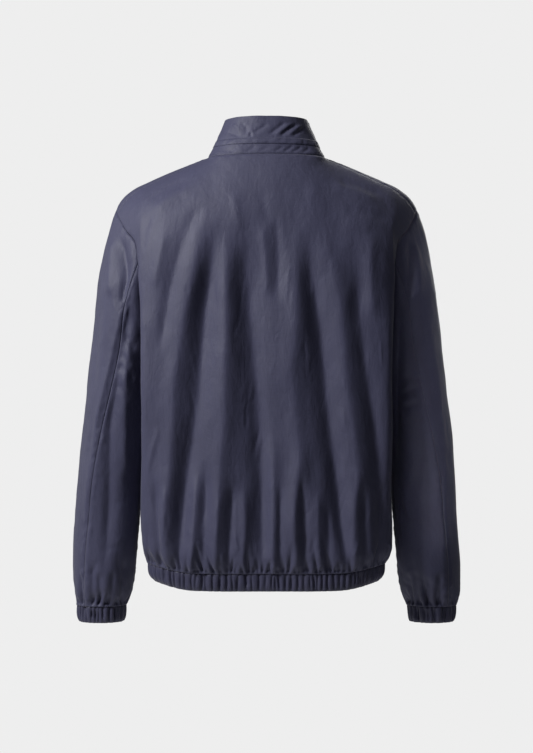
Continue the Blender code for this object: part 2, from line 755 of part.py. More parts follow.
def collar_point(face, turn, up):
    """The collar's outer face on the left: up is 0 on the neck seam and 1 at the top edge."""
    low = neck_point(face, turn)
    angle = 90.0 * turn
    middle = COLLAR_TOP_BACK if face > 0 else COLLAR_TOP_FRONT
    side_y = -0.004
    side_z = 0.0525
    high = np.array(
        [
            COLLAR_TOP_HALF_WIDTH * sine(angle) ** 0.9,
            side_y + (middle[0] - side_y) * cosine(angle) ** 0.9,
            side_z + (middle[1] - side_z) * cosine(angle) ** 1.5,
        ]
    )
    hollow = -0.0015 * 4 * up * (1 - up)
    point = low + (high - low) * up
    outward = np.array([point[0], point[1], 0.0])
    point = point + outward / np.linalg.norm(outward) * hollow
    return front_inset(face, point)


def collar_columns():
    """Face and turn of each column, from the left front edge over the back to the right front edge."""
    turns = [i / NECK_COLUMNS for i in range(NECK_COLUMNS + 1)]
    left = [(-1, turn, 1) for turn in turns] + [(1, turn, 1) for turn in turns[::-1][1:]]
    return left + [(face, turn, -1) for face, turn, _ in left[::-1][1:]]


def collar_row(up, columns, proud=0.0):
    row = []
    for face, turn, side in columns:
        point = collar_point(face, turn, up)
        outward = np.array([point[0], point[1], 0.0])
        point = point + outward / np.linalg.norm(outward) * proud
        row.append(point * np.array([side, 1.0, 1.0]))
    return row


def collar(finish):
    ups = [0.0, 0.03] + [i / COLLAR_ROWS for i in range(1, COLLAR_ROWS + 1)]
    rows = [collar_row(up, collar_columns()) for up in reversed(ups)]
    rows = part_at_seams(rows, [PANEL_DRAW] * len(rows), ends=False)
    return cloth_panel("collar", rows, finish, (0, 0, 1), COLLAR_CLOTH)


def collar_welt(finish):
    columns = [c for c in collar_columns() if c[0] > 0 or c[1] > 0.7]
    ups = (WELT_HIGH, (WELT_HIGH + WELT_LOW) / 2, WELT_LOW)
    rows = [collar_row(up, columns, proud=2 * SEAM_GAP + WELT_CLOTH) for up in ups]
    return cloth_panel("collar_welt", rows, finish, (0, 0, 1), WELT_CLOTH)


# ---- Zip -----------------------------------------------------------------------------------------


def front_line():
    """The front edge in side view, from the top down: y, z, the wall there and the tape's lean."""
    line = []
    for up in (1.0, 0.95, 0.90, 0.85, 0.80, 0.60, 0.40, 0.20, 0.0):
        line.append((*collar_point(-1, 0.0, up)[1:], COLLAR_CLOTH, COLLAR_TAPE_LEAN))
    for v in (0.25, 0.5, 0.75, 1.0):
        line.append((*torso(-1, 0.0, v)[1:], SHELL_CLOTH, TAPE_LEAN))
    for z in (-0.25, -0.32, -0.39, -0.46, -0.53, -0.59, -0.625, -0.645):
        line.append((*torso(-1, 0.0, 1 + CHEST_Z - z)[1:], SHELL_CLOTH, TAPE_LEAN))
    edge = torso(-1, 0.0, 1 + CHEST_Z - HEM_Z)
    for down in (0.0, 0.5, 1.0):
        line.append((edge[1], edge[2] - down * BAND_HEIGHT, BAND_WALL + 2 * GATHER_DEPTH, TAPE_LEAN))
    return np.array(line)


def zip_tape(name, side, finish):
    """A tape behind the front edge, with its half of the chain raised along its inner edge."""
    line = front_line()
    places = line[:, :2]
    along = np.gradient(places, axis=0)
    along /= np.linalg.norm(along, axis=1)[:, None]
    inward = np.stack((-along[:, 1], along[:, 0]), axis=1)
    lengths = np.concatenate(([0.0], np.cumsum(np.linalg.norm(np.diff(places, axis=0), axis=1))))
    sections = []
    for (y, z, wall, lean), (in_y, in_z), down in zip(line, inward, lengths):
        behind = wall + SEAM_GAP
        parted = smooth((PARTED_LENGTH * 1.6 - down) / PARTED_LENGTH)
        gap = CHAIN_GAP_X + (PARTED_GAP_X - CHAIN_GAP_X) * parted
        profile = (
            (gap, behind - CHAIN_RISE),
            (gap + CHAIN_HALF_WIDTH - CHAIN_GAP_X, behind - CHAIN_RISE),
            (gap + CHAIN_HALF_WIDTH - CHAIN_GAP_X, behind),
            (TAPE_OUTER_X, behind + lean),
            (TAPE_OUTER_X, behind + lean + TAPE_CLOTH),
            (gap, behind + TAPE_CLOTH),
        )
        sections.append([(side * x, y + in_y * d, z + in_z * d) for x, d in profile])
    return ring_of_sections(name, sections, finish, closed=False)


def block(name, size, centre, collection):
    """A box, given its full size and its centre."""
    shape = bmesh.new()
    bmesh.ops.create_cube(shape, size=1.0)
    bmesh.ops.scale(shape, vec=size, verts=shape.verts)
    bmesh.ops.translate(shape, vec=centre, verts=shape.verts)
    return shape_object(name, shape, collection)


def rod_along_x(name, radius, length, collection):
    shape = bmesh.new()
    bmesh.ops.create_cone(shape, cap_ends=True, segments=16, radius1=radius, radius2=radius, depth=length)
    quarter = Matrix.Rotation(math.radians(90), 3, "Y")
    bmesh.ops.rotate(shape, cent=(0, 0, 0), matrix=quarter, verts=shape.verts)
    return shape_object(name, shape, collection)


def shape_object(name, shape, collection):
    mesh = bpy.data.meshes.new(name)
    shape.to_mesh(mesh)
    shape.free()
    made = bpy.data.objects.new(name, mesh)
    bpy.data.collections[collection].objects.link(made)
    if collection == HELPERS:
        made.hide_render = True
        made.display_type = "WIRE"
    return made


def combine(made, other, operation):
    modifier = made.modifiers.new(other.name, "BOOLEAN")
    modifier.operation = operation
    modifier.object = other


def slider_place():
    """The bail's axis and the lean of the zip there, from the front line of the collar."""
    length = np.linalg.norm(collar_point(-1, 0.0, 1.0) - collar_point(-1, 0.0, 0.0))
    up = 1 - SLIDER_DOWN / length
    half = SLIDER_LENGTH / 2 / length
    centre = collar_point(-1, 0.0, up)
    down = collar_point(-1, 0.0, up - half) - collar_point(-1, 0.0, up + half)
    down /= np.linalg.norm(down)
    out = np.array([0.0, down[2], -down[1]])
    lean = math.atan2(down[1], -down[2])
    return (0.0, *(centre + out * BAIL_STANDOFF)[1:]), lean


def zip_slider(finish):
    """Front and back plates joined by the wedge between the chain halves, with the bail on two lugs."""
    chain_face = BAIL_STANDOFF + COLLAR_CLOTH + SEAM_GAP - CHAIN_RISE
    front_y = chain_face - 1.5 * SEAM_GAP - SLIDER_PLATE / 2
    back_y = BAIL_STANDOFF + COLLAR_CLOTH + 4 * SEAM_GAP + TAPE_CLOTH + SLIDER_PLATE / 2
    plate = (SLIDER_WIDTH, SLIDER_PLATE, SLIDER_LENGTH)
    made = block("zip_slider", plate, (0, front_y, 0), COLLECTION)
    made.data.materials.append(finish)
    wedge_size = (WEDGE_WIDTH, back_y - front_y, WEDGE_LENGTH)
    wedge_centre = (0, (front_y + back_y) / 2, SLIDER_LENGTH / 2 - WEDGE_LENGTH / 2 - SEAM_GAP)
    lug_size = (LUG_WIDTH, BAIL_STANDOFF + LUG_BEYOND + LUG_ROOT, LUG_HEIGHT)
    lug_y = (BAIL_STANDOFF + LUG_ROOT - LUG_BEYOND) / 2
    pieces = [
        block("slider_back_plate", (SLIDER_WIDTH, SLIDER_PLATE, SLIDER_LENGTH), (0, back_y, 0), HELPERS),
        block("slider_wedge", wedge_size, wedge_centre, HELPERS),
        block("slider_lug_left", lug_size, (LUG_X, lug_y, 0), HELPERS),
        block("slider_lug_right", lug_size, (-LUG_X, lug_y, 0), HELPERS),
        rod_along_x("slider_bail", BAIL_RADIUS, 2 * LUG_X, HELPERS),
    ]
    place, lean = slider_place()
    for piece in pieces:
        piece.parent = made
        combine(made, piece, "UNION")
    made.location = place
    made.rotation_euler = (lean, 0, 0)


def zip_pull(finish):
    """A flat tab with a barrel round the bail, which it turns on."""
    tab = (PULL_WIDTH, PULL_THICKNESS, PULL_LENGTH)
    made = block("zip_pull", tab, (0, 0, -PULL_LENGTH / 2), COLLECTION)
    made.data.materials.append(finish)
    barrel = rod_along_x("pull_barrel", PULL_EYE_RADIUS, PULL_WIDTH - SEAM_GAP, HELPERS)
    hole = rod_along_x("pull_hole", PULL_HOLE_RADIUS, 2 * PULL_WIDTH, HELPERS)
    place, lean = slider_place()
    for piece in (barrel, hole):
        piece.parent = made
    combine(made, barrel, "UNION")
    combine(made, hole, "DIFFERENCE")
    made.location = place
    made.rotation_euler = (lean, 0, 0)


def main():
    for old in list(bpy.data.objects):
        bpy.data.objects.remove(old)
    parts = bpy.data.collections.new(COLLECTION)
    bpy.context.scene.collection.children.link(parts)
    helpers = bpy.data.collections.new(HELPERS)
    bpy.context.scene.collection.children.link(helpers)
    nylon = (0.062, 0.064, 0.094)
    back_panel(material("back_cloth", nylon, 0.5))
    for side_name, side in (("left", 1), ("right", -1)):
        front_panel("front_" + side_name, side, material("front_cloth_" + side_name, nylon, 0.5))
        sleeve_pieces(side_name, side, material("sleeve_cloth_" + side_name, nylon, 0.5))
        cuff("cuff_" + side_name, side, material("cuff_cloth_" + side_name, nylon, 0.55))
        zip_tape("zip_tape_" + side_name, side, material("tape_" + side_name, (0.03, 0.03, 0.045), 0.7))
    hem_band(material("band_cloth", nylon, 0.55))
    collar(material("collar_cloth", nylon, 0.5))
    collar_welt(material("welt_cloth", nylon, 0.5))
    dark_metal = (0.05, 0.05, 0.06)
    zip_slider(material("slider_metal", dark_metal, 0.35, 1.0))
    zip_pull(material("pull_metal", dark_metal, 0.35, 1.0))


main()
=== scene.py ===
"""A zipped navy windbreaker with a stand collar and gathered elastic hem and cuffs, seen from behind.

The garment is filled out as if worn. It faces -Y and the wearer's left is at +X, so the camera stands
at +Y. The origin is the middle of the neck opening at the height of the collar seam. Body and sleeve
sizes are in metres; the tables of creases are in millimetres.
"""

import math

import bmesh
import bpy
import numpy as np
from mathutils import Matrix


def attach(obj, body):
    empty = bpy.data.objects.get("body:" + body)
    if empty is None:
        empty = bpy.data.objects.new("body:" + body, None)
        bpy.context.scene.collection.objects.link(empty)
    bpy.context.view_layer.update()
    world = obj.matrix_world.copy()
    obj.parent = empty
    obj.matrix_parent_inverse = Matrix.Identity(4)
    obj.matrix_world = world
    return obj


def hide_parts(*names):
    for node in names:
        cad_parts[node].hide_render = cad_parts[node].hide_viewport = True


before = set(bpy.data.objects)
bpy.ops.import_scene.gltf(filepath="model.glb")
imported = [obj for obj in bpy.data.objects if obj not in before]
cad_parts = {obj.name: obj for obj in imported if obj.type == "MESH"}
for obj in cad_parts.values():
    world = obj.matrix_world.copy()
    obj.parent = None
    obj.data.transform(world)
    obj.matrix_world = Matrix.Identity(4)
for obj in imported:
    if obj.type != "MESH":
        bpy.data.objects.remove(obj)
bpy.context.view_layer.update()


# ---- Back ----------------------------------------------------------------------------------------
# One panel of plain-woven nylon with a satin face, from the collar seam and the shoulders down to
# the hem. It hangs in long folds from the shoulder blades and is gathered where it meets the band.

cloth_wall = 0.0005
folded_wall = 0.0004
seam_hollow = 0.0007
crease_sharpness = 1.7
crease_strength = 1.3
crease_end, crease_reach = 0.22, 2.6
tuck_sharpness = 1.35
tuck_start, tuck_opening = 0.005, 0.036
seam_width = 0.0026
facing_from, facing_over = -0.05, 0.45

chest_z = -0.200
underarm_z = -0.275
tilt_start_z = -0.400
hem_z = -0.6555
hem_slope = 0.077
side_rise = 0.0080
side_rise_from_x, side_rise_over_x = 0.110, 0.080
side_rise_from_z, side_rise_over_z = -0.585, 0.085
front_edge_x = 0.006
front_ease_x = 0.090
guides = (-0.33, 0.0, 0.33, 0.57, 0.75, 0.88, 1.0)
ridge_guide = 0.75
neck_guide = 0.36
turn_in = 0.68
turn_back = 0.42
half_way_x, half_way_depth = 0.50, 0.985
shoulder_blade_x, shoulder_blade_y = 0.84, 0.66

# Each level: height, back depth, back fold x and y, side seam x, front depth, front fold x and y
body_levels = np.array(
    [
        (-0.200, 0.1130, 0.1990, 0.0870, 0.1690, 0.1180, 0.1990, 0.0850),
        (-0.275, 0.1145, 0.1960, 0.0910, 0.1675, 0.1200, 0.1960, 0.0890),
        (-0.305, 0.1145, 0.1952, 0.0915, 0.1615, 0.1200, 0.1952, 0.0890),
        (-0.345, 0.1145, 0.1948, 0.0920, 0.1610, 0.1200, 0.1945, 0.0890),
        (-0.400, 0.1140, 0.1945, 0.0910, 0.1710, 0.1190, 0.1945, 0.0880),
        (-0.470, 0.1135, 0.1945, 0.0870, 0.1840, 0.1180, 0.1945, 0.0850),
        (-0.540, 0.1135, 0.1945, 0.0800, 0.1905, 0.1170, 0.1940, 0.0800),
        (-0.600, 0.1145, 0.1950, 0.0700, 0.1940, 0.1170, 0.1940, 0.0720),
        (-0.635, 0.1130, 0.1930, 0.0620, 0.1925, 0.1150, 0.1920, 0.0640),
        (-0.650, 0.1090, 0.1890, 0.0560, 0.1895, 0.1110, 0.1885, 0.0580),
        (-0.6555, 0.1060, 0.1865, 0.0540, 0.1875, 0.1080, 0.1860, 0.0550),
    ]
)

# The top line of the shoulder as x and z, and where its seam and the armhole seam lie behind it
shoulder_line = np.array(
    [
        (0.0926, -0.0050),
        (0.1380, -0.0259),
        (0.1800, -0.0453),
        (0.2120, -0.0612),
        (0.2296, -0.0760),
        (0.2409, -0.0915),
    ]
)
shoulder_seam_y = 0.022
armhole_seam_y = 0.017
shoulder_arch = 0.105

neck_half_width = 0.0926
neck_middle = {1: (0.070, -0.0076), -1: (-0.085, -0.075)}
neck_slope = {1: 34.0, -1: 26.0}
neck_power = 0.92
neck_bend = {1: 1.0, -1: 1.35}
shoulder_power = 0.94
corner_reach, corner_width = 0.030, 0.17
corner_last_row, corner_passes = 1.3, 500

# The armhole from the shoulder over the back to the underarm, as angle, x, y and z
armhole_back = np.array(
    [
        (0.0, 0.2409, 0.0000, -0.0915),
        (46.0, 0.2218, 0.0480, -0.1260),
        (69.0, 0.2055, 0.0670, -0.1480),
        (87.0, 0.2015, 0.0735, -0.1780),
        (111.0, 0.1905, 0.0660, -0.2150),
        (145.0, 0.1770, 0.0400, -0.2550),
        (180.0, 0.1675, 0.0000, -0.2750),
    ]
)
armhole_front_fullness = 0.97


def curve_through(stops, values):
    """A smooth curve through each value at its stop, as a function of one place or of many."""
    order = np.argsort(stops)
    stops = np.asarray(stops, float)[order]
    values = np.asarray(values, float)[order]
    slopes = np.gradient(values, stops, axis=0)

    def at(place):
        place = np.asarray(place, float)
        i = np.clip(np.searchsorted(stops, place, side="right") - 1, 0, len(stops) - 2)
        span = stops[i + 1] - stops[i]
        u = (place - stops[i]) / span
        if values.ndim > 1:
            span, u = span[..., None], u[..., None]
        start = values[i] * (1 + 2 * u) + slopes[i] * span * u
        end = values[i + 1] * (3 - 2 * u) + slopes[i + 1] * span * (u - 1)
        return start * (1 - u) ** 2 + end * u * u

    return at


def ease(u):
    """From 0 to 1 with a soft start and a soft end."""
    u = np.clip(u, 0.0, 1.0)
    return u * u * (3 - 2 * u)


def sine(degrees):
    return np.sin(np.radians(degrees))


def cosine(degrees):
    return np.cos(np.radians(degrees))


def quarter_turn(turns):
    """Sine and cosine of a quarter turn, kept from 0 to 1."""
    return np.clip(sine(90.0 * turns), 0.0, 1.0), np.clip(cosine(90.0 * turns), 0.0, 1.0)


def lengths_along(line):
    """How far each point of a line lies along it."""
    return np.concatenate([[0.0], np.cumsum(np.linalg.norm(np.diff(line, axis=0), axis=1))])


def read_along(places, lengths, rows):
    """The columns of a table of rows, read at places along its lengths."""
    return np.stack([np.interp(places, lengths, column) for column in rows.T], axis=-1)


armhole_front = armhole_back[1:] * (-1, 1, -armhole_front_fullness, 1)
armhole_rows = np.concatenate(
    [armhole_back[1:-1] - (360, 0, 0, 0), armhole_front, armhole_back, armhole_front[:-1] + (360, 0, 0, 0)]
)
armhole = curve_through(armhole_rows[:, 0], armhole_rows[:, 1:])
back_angles = np.linspace(0.0, 180.0, 721)
back_loop = armhole(back_angles)


def armhole_angle_at(z):
    """The angle, behind the shoulder, at which the armhole passes this height."""
    return np.interp(-z, -back_loop[:, 2], back_angles)


shoulder_angle = float(np.interp(armhole_seam_y, back_loop[:240, 1], back_angles[:240]))
chest_angle = float(armhole_angle_at(chest_z))
side_seam_x = curve_through(body_levels[:, 0], body_levels[:, 4])
half_section = {
    1: curve_through(body_levels[:, 0], body_levels[:, 1:4]),
    -1: curve_through(body_levels[:, 0], body_levels[:, 5:8]),
}
crest_z = curve_through(shoulder_line[:, 0], shoulder_line[:, 1])


def level_points(face, places, z):
    """A level section of the body: face is 1 for the back and -1 for the front."""
    depth, ridge_x, ridge_y = half_section[face](z)
    if z > underarm_z:
        edge = armhole(face * armhole_angle_at(z))
    else:
        edge = np.array([side_seam_x(z), 0.0, z])
    edge_y = face * edge[1]
    section = [
        (-half_way_x * ridge_x, depth * half_way_depth, z),
        (0.0, depth, z),
        (half_way_x * ridge_x, depth * half_way_depth, z),
        (shoulder_blade_x * ridge_x, ridge_y + shoulder_blade_y * (depth - ridge_y), z),
        (ridge_x, ridge_y, z),
        (ridge_x + turn_in * (edge[0] - ridge_x), ridge_y + turn_back * (edge_y - ridge_y), z),
        (edge[0], edge_y, edge[2]),
    ]
    points = curve_through(guides, section)(places)
    points[:, 1] *= face
    tilt = ease((tilt_start_z - z) / (tilt_start_z - hem_z))
    points[:, 2] -= hem_slope * tilt * points[:, 1]
    return points


def shoulder_seam_z(x, y):
    """The height of the shoulder arch behind its crest."""
    crest = crest_z(x)
    return crest - (crest - chest_z) * (1 - np.sqrt(1 - (y / shoulder_arch) ** 2))


def neck_points(face, turns):
    """The neck seam: turn runs from 0 at the middle of the back or front to 1 at the shoulder."""
    middle = neck_middle[face]
    side_z = shoulder_seam_z(neck_half_width, shoulder_seam_y)
    sines, cosines = quarter_turn(turns)
    x = neck_half_width * sines**neck_power
    y = shoulder_seam_y + (middle[0] - shoulder_seam_y) * cosines**neck_power
    z = side_z + (middle[1] - side_z) * cosines ** neck_bend[face]
    return np.stack([x, y, z], axis=-1)


def top_edge(face, places):
    """The upper edge of a panel: the neck seam, then the shoulder seam out to the armhole."""
    neck = neck_points(face, np.minimum(places / neck_guide, 1.0))
    out = np.clip((places - neck_guide) / (1 - neck_guide), 0.0, 1.0)
    tip = armhole(shoulder_angle)
    x = neck_half_width + (tip[0] - neck_half_width) * out**shoulder_power
    y = shoulder_seam_y + (tip[1] - shoulder_seam_y) * out
    z = shoulder_seam_z(x, y) + (tip[2] - shoulder_seam_z(tip[0], tip[1])) * out**6
    return np.where((places <= neck_guide)[:, None], neck, np.stack([x, y, z], axis=-1))


def eased_to_zip(face, points):
    """The fronts end at the zip, a little to the side of the middle."""
    if face < 0:
        x = points[:, 0]
        points[:, 0] = np.where(x < front_ease_x, front_edge_x + x * (1 - front_edge_x / front_ease_x), x)
    return points


def dome(begin, end, first, down):
    """From the top edge over the shoulder blade to the chest; first is the slope it starts with."""
    w = first + (90.0 - first) * down
    rise = (sine(w) - sine(first)) / (1 - sine(first))
    fall = (cosine(first) - cosine(w)) / cosine(first)
    shares = np.stack([np.full_like(rise, down), rise, fall], axis=-1)
    return begin + (end - begin) * shares


def body_row(face, places, down):
    """A row of points across a half panel: down is 0 on the top edge, 1 at the chest, then metres."""
    if down > 1:
        return eased_to_zip(face, level_points(face, places, 1 - down + chest_z))
    foot = level_points(face, places, chest_z)
    seam_slope = np.degrees(np.arcsin(shoulder_seam_y / np.abs(foot[:, 1]))) * face
    first = seam_slope + (neck_slope[face] - seam_slope) * ease(1 - places / neck_guide)
    points = dome(top_edge(face, places), foot, first, down)
    last = np.array([1.0])
    last_foot = level_points(face, last, chest_z)
    last_first = np.degrees(np.arcsin(shoulder_seam_y / np.abs(last_foot[:, 1]))) * face
    seam = armhole(shoulder_angle + (face * chest_angle - shoulder_angle) * down)
    pull = ease((places - ridge_guide) / (1 - ridge_guide))[:, None]
    points = points + pull * (seam - dome(top_edge(face, last), last_foot, last_first, down))
    return eased_to_zip(face, points)


def eased_below_neck(points, places):
    """The corner where the neck seam meets the shoulder seam, spread into a soft slope below the seam."""
    rows = np.flatnonzero(panel_rows < corner_last_row)
    down = edge_distances(points)[0][rows]
    share = ease(down / corner_reach) * np.exp(-(((places - neck_guide) / corner_width) ** 2))
    share = 0.5 * share[:, 1:-1, None]
    eased = points[rows]
    for _ in range(corner_passes):
        between = (eased[:, 2:] + eased[:, :-2]) / 2
        eased[:, 1:-1] += share * (between - eased[:, 1:-1])
    points[rows] = eased
    return points


def steps_between(*stops):
    """Places between stops given as (start, end, count), each run starting where the last one ended."""
    runs = [np.linspace(start, end, count, endpoint=False) for start, end, count in stops]
    return np.concatenate([*runs, [stops[-1][1]]])


def cloth_normals(points, inside):
    """Unit normals of a grid of points, away from the points inside the garment."""
    normals = np.cross(np.gradient(points, axis=1), np.gradient(points, axis=0))
    normals /= np.maximum(np.linalg.norm(normals, axis=2, keepdims=True), 1e-12)
    return normals if (normals * (points - inside)).sum() > 0 else -normals


def edge_distances(points):
    """How far each point of a grid lies along the cloth from its first and last row and column."""
    steps = np.linalg.norm(np.diff(points, axis=0), axis=2)
    down = np.concatenate([np.zeros((1, points.shape[1])), np.cumsum(steps, axis=0)])
    steps = np.linalg.norm(np.diff(points, axis=1), axis=2)
    across = np.concatenate([np.zeros((points.shape[0], 1)), np.cumsum(steps, axis=1)], axis=1)
    return down, down[-1:] - down, across, across[:, -1:] - across


def crease_lift(across, up, creases):
    """How far the creases of a table lift the cloth, in metres.

    Each row is a height and a path of (across, up, half width), all in mm. The ends fade out.
    """
    lift = np.zeros(across.shape)
    for height, path in creases:
        path = np.array(path, float) / 1000
        lengths = lengths_along(path[:, :2])
        fine = curve_through(lengths, path)(np.linspace(0.0, lengths[-1], 7 * len(path)))
        reach = crease_reach * path[:, 2].max()
        low, high = fine[:, :2].min(axis=0) - reach, fine[:, :2].max(axis=0) + reach
        near = (across > low[0]) & (across < high[0]) & (up > low[1]) & (up < high[1])
        if not near.any():
            continue
        place = np.stack([across[near], up[near]], axis=-1)[:, None, :]
        start, step = fine[:-1, :2], np.diff(fine[:, :2], axis=0)
        share = ((place - start) * step).sum(axis=2) / (step**2).sum(axis=1)
        share = np.clip(share, 0.0, 1.0)
        away = np.linalg.norm(place - start - share[..., None] * step, axis=2)
        best = away.argmin(axis=1)
        pick = np.arange(len(best))
        run = (best + share[pick, best]) / (len(fine) - 1)
        width = np.interp(run, np.linspace(0, 1, len(fine)), fine[:, 2])
        ends = ease(run / crease_end) * ease((1 - run) / crease_end)
        profile = np.exp(-((away[pick, best] / width) ** crease_sharpness))
        lift[near] += crease_strength * height / 1000 * ends * profile
    return lift


def small_creases(count, across, up, lean, seed):
    """Short shallow creases, at random between the given limits in mm, as rows for crease_lift."""
    draw = np.random.default_rng(seed)
    creases = []
    for _ in range(count):
        x, z = draw.uniform(*across), draw.uniform(*up)
        slope = draw.normal(*lean)
        length, bow = draw.uniform(14, 48), draw.normal(0, 2.5)
        step = np.array([math.sin(slope), math.cos(slope)]) * length / 2
        side = np.array([step[1], -step[0]]) / length * bow
        width = draw.uniform(1.8, 3.4)
        path = [(x - step[0], z - step[1], width), (x + side[0], z + side[1], width)]
        path.append((x + step[0], z + step[1], width))
        creases.append((draw.choice([-1, 1]) * draw.uniform(0.3, 0.9), path))
    return creases


def waves(points, size, stretch, seed):
    """Soft uneven waves of about one size, from -1 to 1, with a longer run in the stretched directions."""
    draw = np.random.default_rng(seed)
    total = np.zeros(points.shape[:-1])
    count = 18
    for _ in range(count):
        direction = draw.normal(size=3)
        direction *= draw.uniform(0.6, 1.5) / np.linalg.norm(direction)
        pitch = 2 * math.pi / size * direction / stretch
        total += np.sin(points @ pitch + draw.uniform(0, 2 * math.pi))
    return total / math.sqrt(count / 2)


def facing(normals, side):
    """1 where the cloth faces the back (side 1) or the front (side -1), fading out round the turn."""
    return ease((normals[..., 1] * side - facing_from) / facing_over)


def rippled(points, sizes, seed):
    """The sum of waves given as rows of height, size and the longer run down the cloth."""
    total = 0.0
    for k, (height, size, run) in enumerate(sizes):
        total = total + height * waves(points, size, (1.0, 1.0, run), seed + k)
    return total


def gather_tucks(length, spacing, seed):
    """The small tucks where gathered cloth is sewn to elastic: place, half width, reach, depth, lean."""
    draw = np.random.default_rng(seed)
    places = np.cumsum(draw.uniform(0.62, 1.4, int(length / spacing * 1.3)) * spacing)
    places = places[places < length]
    reach = 0.016 + 0.060 * draw.uniform(0, 1, len(places)) ** 2.2
    width = draw.uniform(0.0016, 0.0026, len(places))
    depth = draw.uniform(0.0026, 0.0052, len(places)) * (0.7 + 9 * reach)
    lean = draw.normal(0, 0.20, len(places))
    return np.stack([places, width, reach, depth, lean], axis=-1)


def tuck_lift(along, above, tucks):
    """How far the tucks draw the cloth in, from the place along the seam and the height above it."""
    lift = np.zeros(along.shape)
    rows = np.flatnonzero(above.min(axis=1) < tucks[:, 2].max())
    near_along, near_above = along[rows], above[rows]
    total = np.zeros(near_along.shape)
    for place, width, reach, depth, lean in tucks:
        spread = width * (1 + near_above / tuck_opening)
        away = (near_along - place - lean * near_above) / spread
        fade = ease(near_above / tuck_start) * (1 - ease(near_above / reach))
        total -= depth * fade * np.exp(-(np.abs(away) ** tuck_sharpness))
    lift[rows] = total
    return lift


def seam_roll(distance, width=seam_width):
    """0 on a seam and 1 beside it: the cloth rolls down into its seams."""
    return 1 - np.exp(-((distance / width) ** 2))


def seam_lift(points, edges, hollow, puckers, seed):
    """The cloth stands out from its seams and puckers along them.

    puckers holds their height, their size, and how far from the seam they lie and reach.
    """
    down, above, across, far = edges
    height, size, place, reach = puckers
    roll = seam_roll(down) * seam_roll(across) * seam_roll(far) * seam_roll(above)
    beside = np.minimum(np.minimum(across, far), down)
    pucker = waves(points, size, (1.0, 1.0, 1.0), seed) * np.exp(-((beside - place) / reach) ** 2)
    return roll * (hollow + height * pucker)


def add_object(name, data):
    """A new object in the scene."""
    made = bpy.data.objects.new(name, data)
    bpy.context.scene.collection.objects.link(made)
    return made


def cloth_object(name, points, inside, finish, wall=cloth_wall):
    """A sheet of cloth through a grid of points, with its weave's UV map in metres."""
    rows, columns = points.shape[:2]
    place = np.arange(rows * columns).reshape(rows, columns)
    cells = np.stack([place[:-1, :-1], place[1:, :-1], place[1:, 1:], place[:-1, 1:]], axis=-1)
    cells = cells.reshape(-1, 4)
    diagonals = np.cross(points[1:, 1:] - points[:-1, :-1], points[:-1, 1:] - points[1:, :-1])
    outward = cloth_normals(points, inside)[:-1, :-1]
    if (diagonals * outward).sum() < 0:
        cells = cells[:, ::-1]
    mesh = bpy.data.meshes.new(name)
    mesh.from_pydata(points.reshape(-1, 3).tolist(), [], cells.tolist())
    down, _, across, _ = edge_distances(points)
    flat = np.stack([across - across[:, -1:] / 2, -down], axis=-1).reshape(-1, 2)
    weave = mesh.uv_layers.new(name="weave")
    weave.data.foreach_set("uv", flat[cells.reshape(-1)].ravel())
    mesh.shade_smooth()
    mesh.materials.append(finish)
    made = add_object(name, mesh)
    thickness = made.modifiers.new("cloth", "SOLIDIFY")
    thickness.thickness = wall
    thickness.offset = -1.0
    return made


def set_inputs(tree, node, inputs):
    """Sets the inputs of a node to values, or links them to other nodes' outputs."""
    for name, value in inputs.items():
        if isinstance(value, bpy.types.NodeSocket):
            tree.links.new(value, node.inputs[name])
        else:
            node.inputs[name].default_value = value


def add_node(tree, kind, inputs, **settings):
    """A new node with its settings and its inputs."""
    made = tree.nodes.new(kind)
    for name, value in settings.items():
        setattr(made, name, value)
    set_inputs(tree, made, inputs)
    return made


def new_finish(name):
    """A new material with its node tree and the place of each point on its object."""
    made = bpy.data.materials.new(name)
    made.use_nodes = True
    tree = made.node_tree
    return made, tree, add_node(tree, "ShaderNodeTexCoord", {}).outputs["Object"]


def noise(tree, place, scale, detail, **more):
    inputs = {"Vector": place, "Scale": scale, "Detail": detail, **more}
    return add_node(tree, "ShaderNodeTexNoise", inputs).outputs["Fac"]


def stretched(tree, place, scale):
    return add_node(tree, "ShaderNodeMapping", {"Vector": place, "Scale": scale}).outputs["Vector"]


def worked_out(tree, operation, *terms):
    return add_node(tree, "ShaderNodeMath", dict(enumerate(terms)), operation=operation).outputs[0]


def value_between(tree, share, low, high):
    inputs = {"Value": share, "To Min": low, "To Max": high}
    return add_node(tree, "ShaderNodeMapRange", inputs).outputs["Result"]


def colour_between(tree, share, dark, light):
    inputs = {0: share, 6: (*dark, 1), 7: (*light, 1)}
    return add_node(tree, "ShaderNodeMix", inputs, data_type="RGBA").outputs[2]


def shades_of(tree, share, colour, dark, light):
    """The colour, darkened and lightened by two factors."""
    return colour_between(tree, share, [dark * c for c in colour], [light * c for c in colour])


def relief(tree, height, strength, distance, **below):
    inputs = {"Height": height, "Strength": strength, "Distance": distance, **below}
    return add_node(tree, "ShaderNodeBump", inputs).outputs["Normal"]


def dress(tree, inputs):
    set_inputs(tree, tree.nodes["Principled BSDF"], inputs)


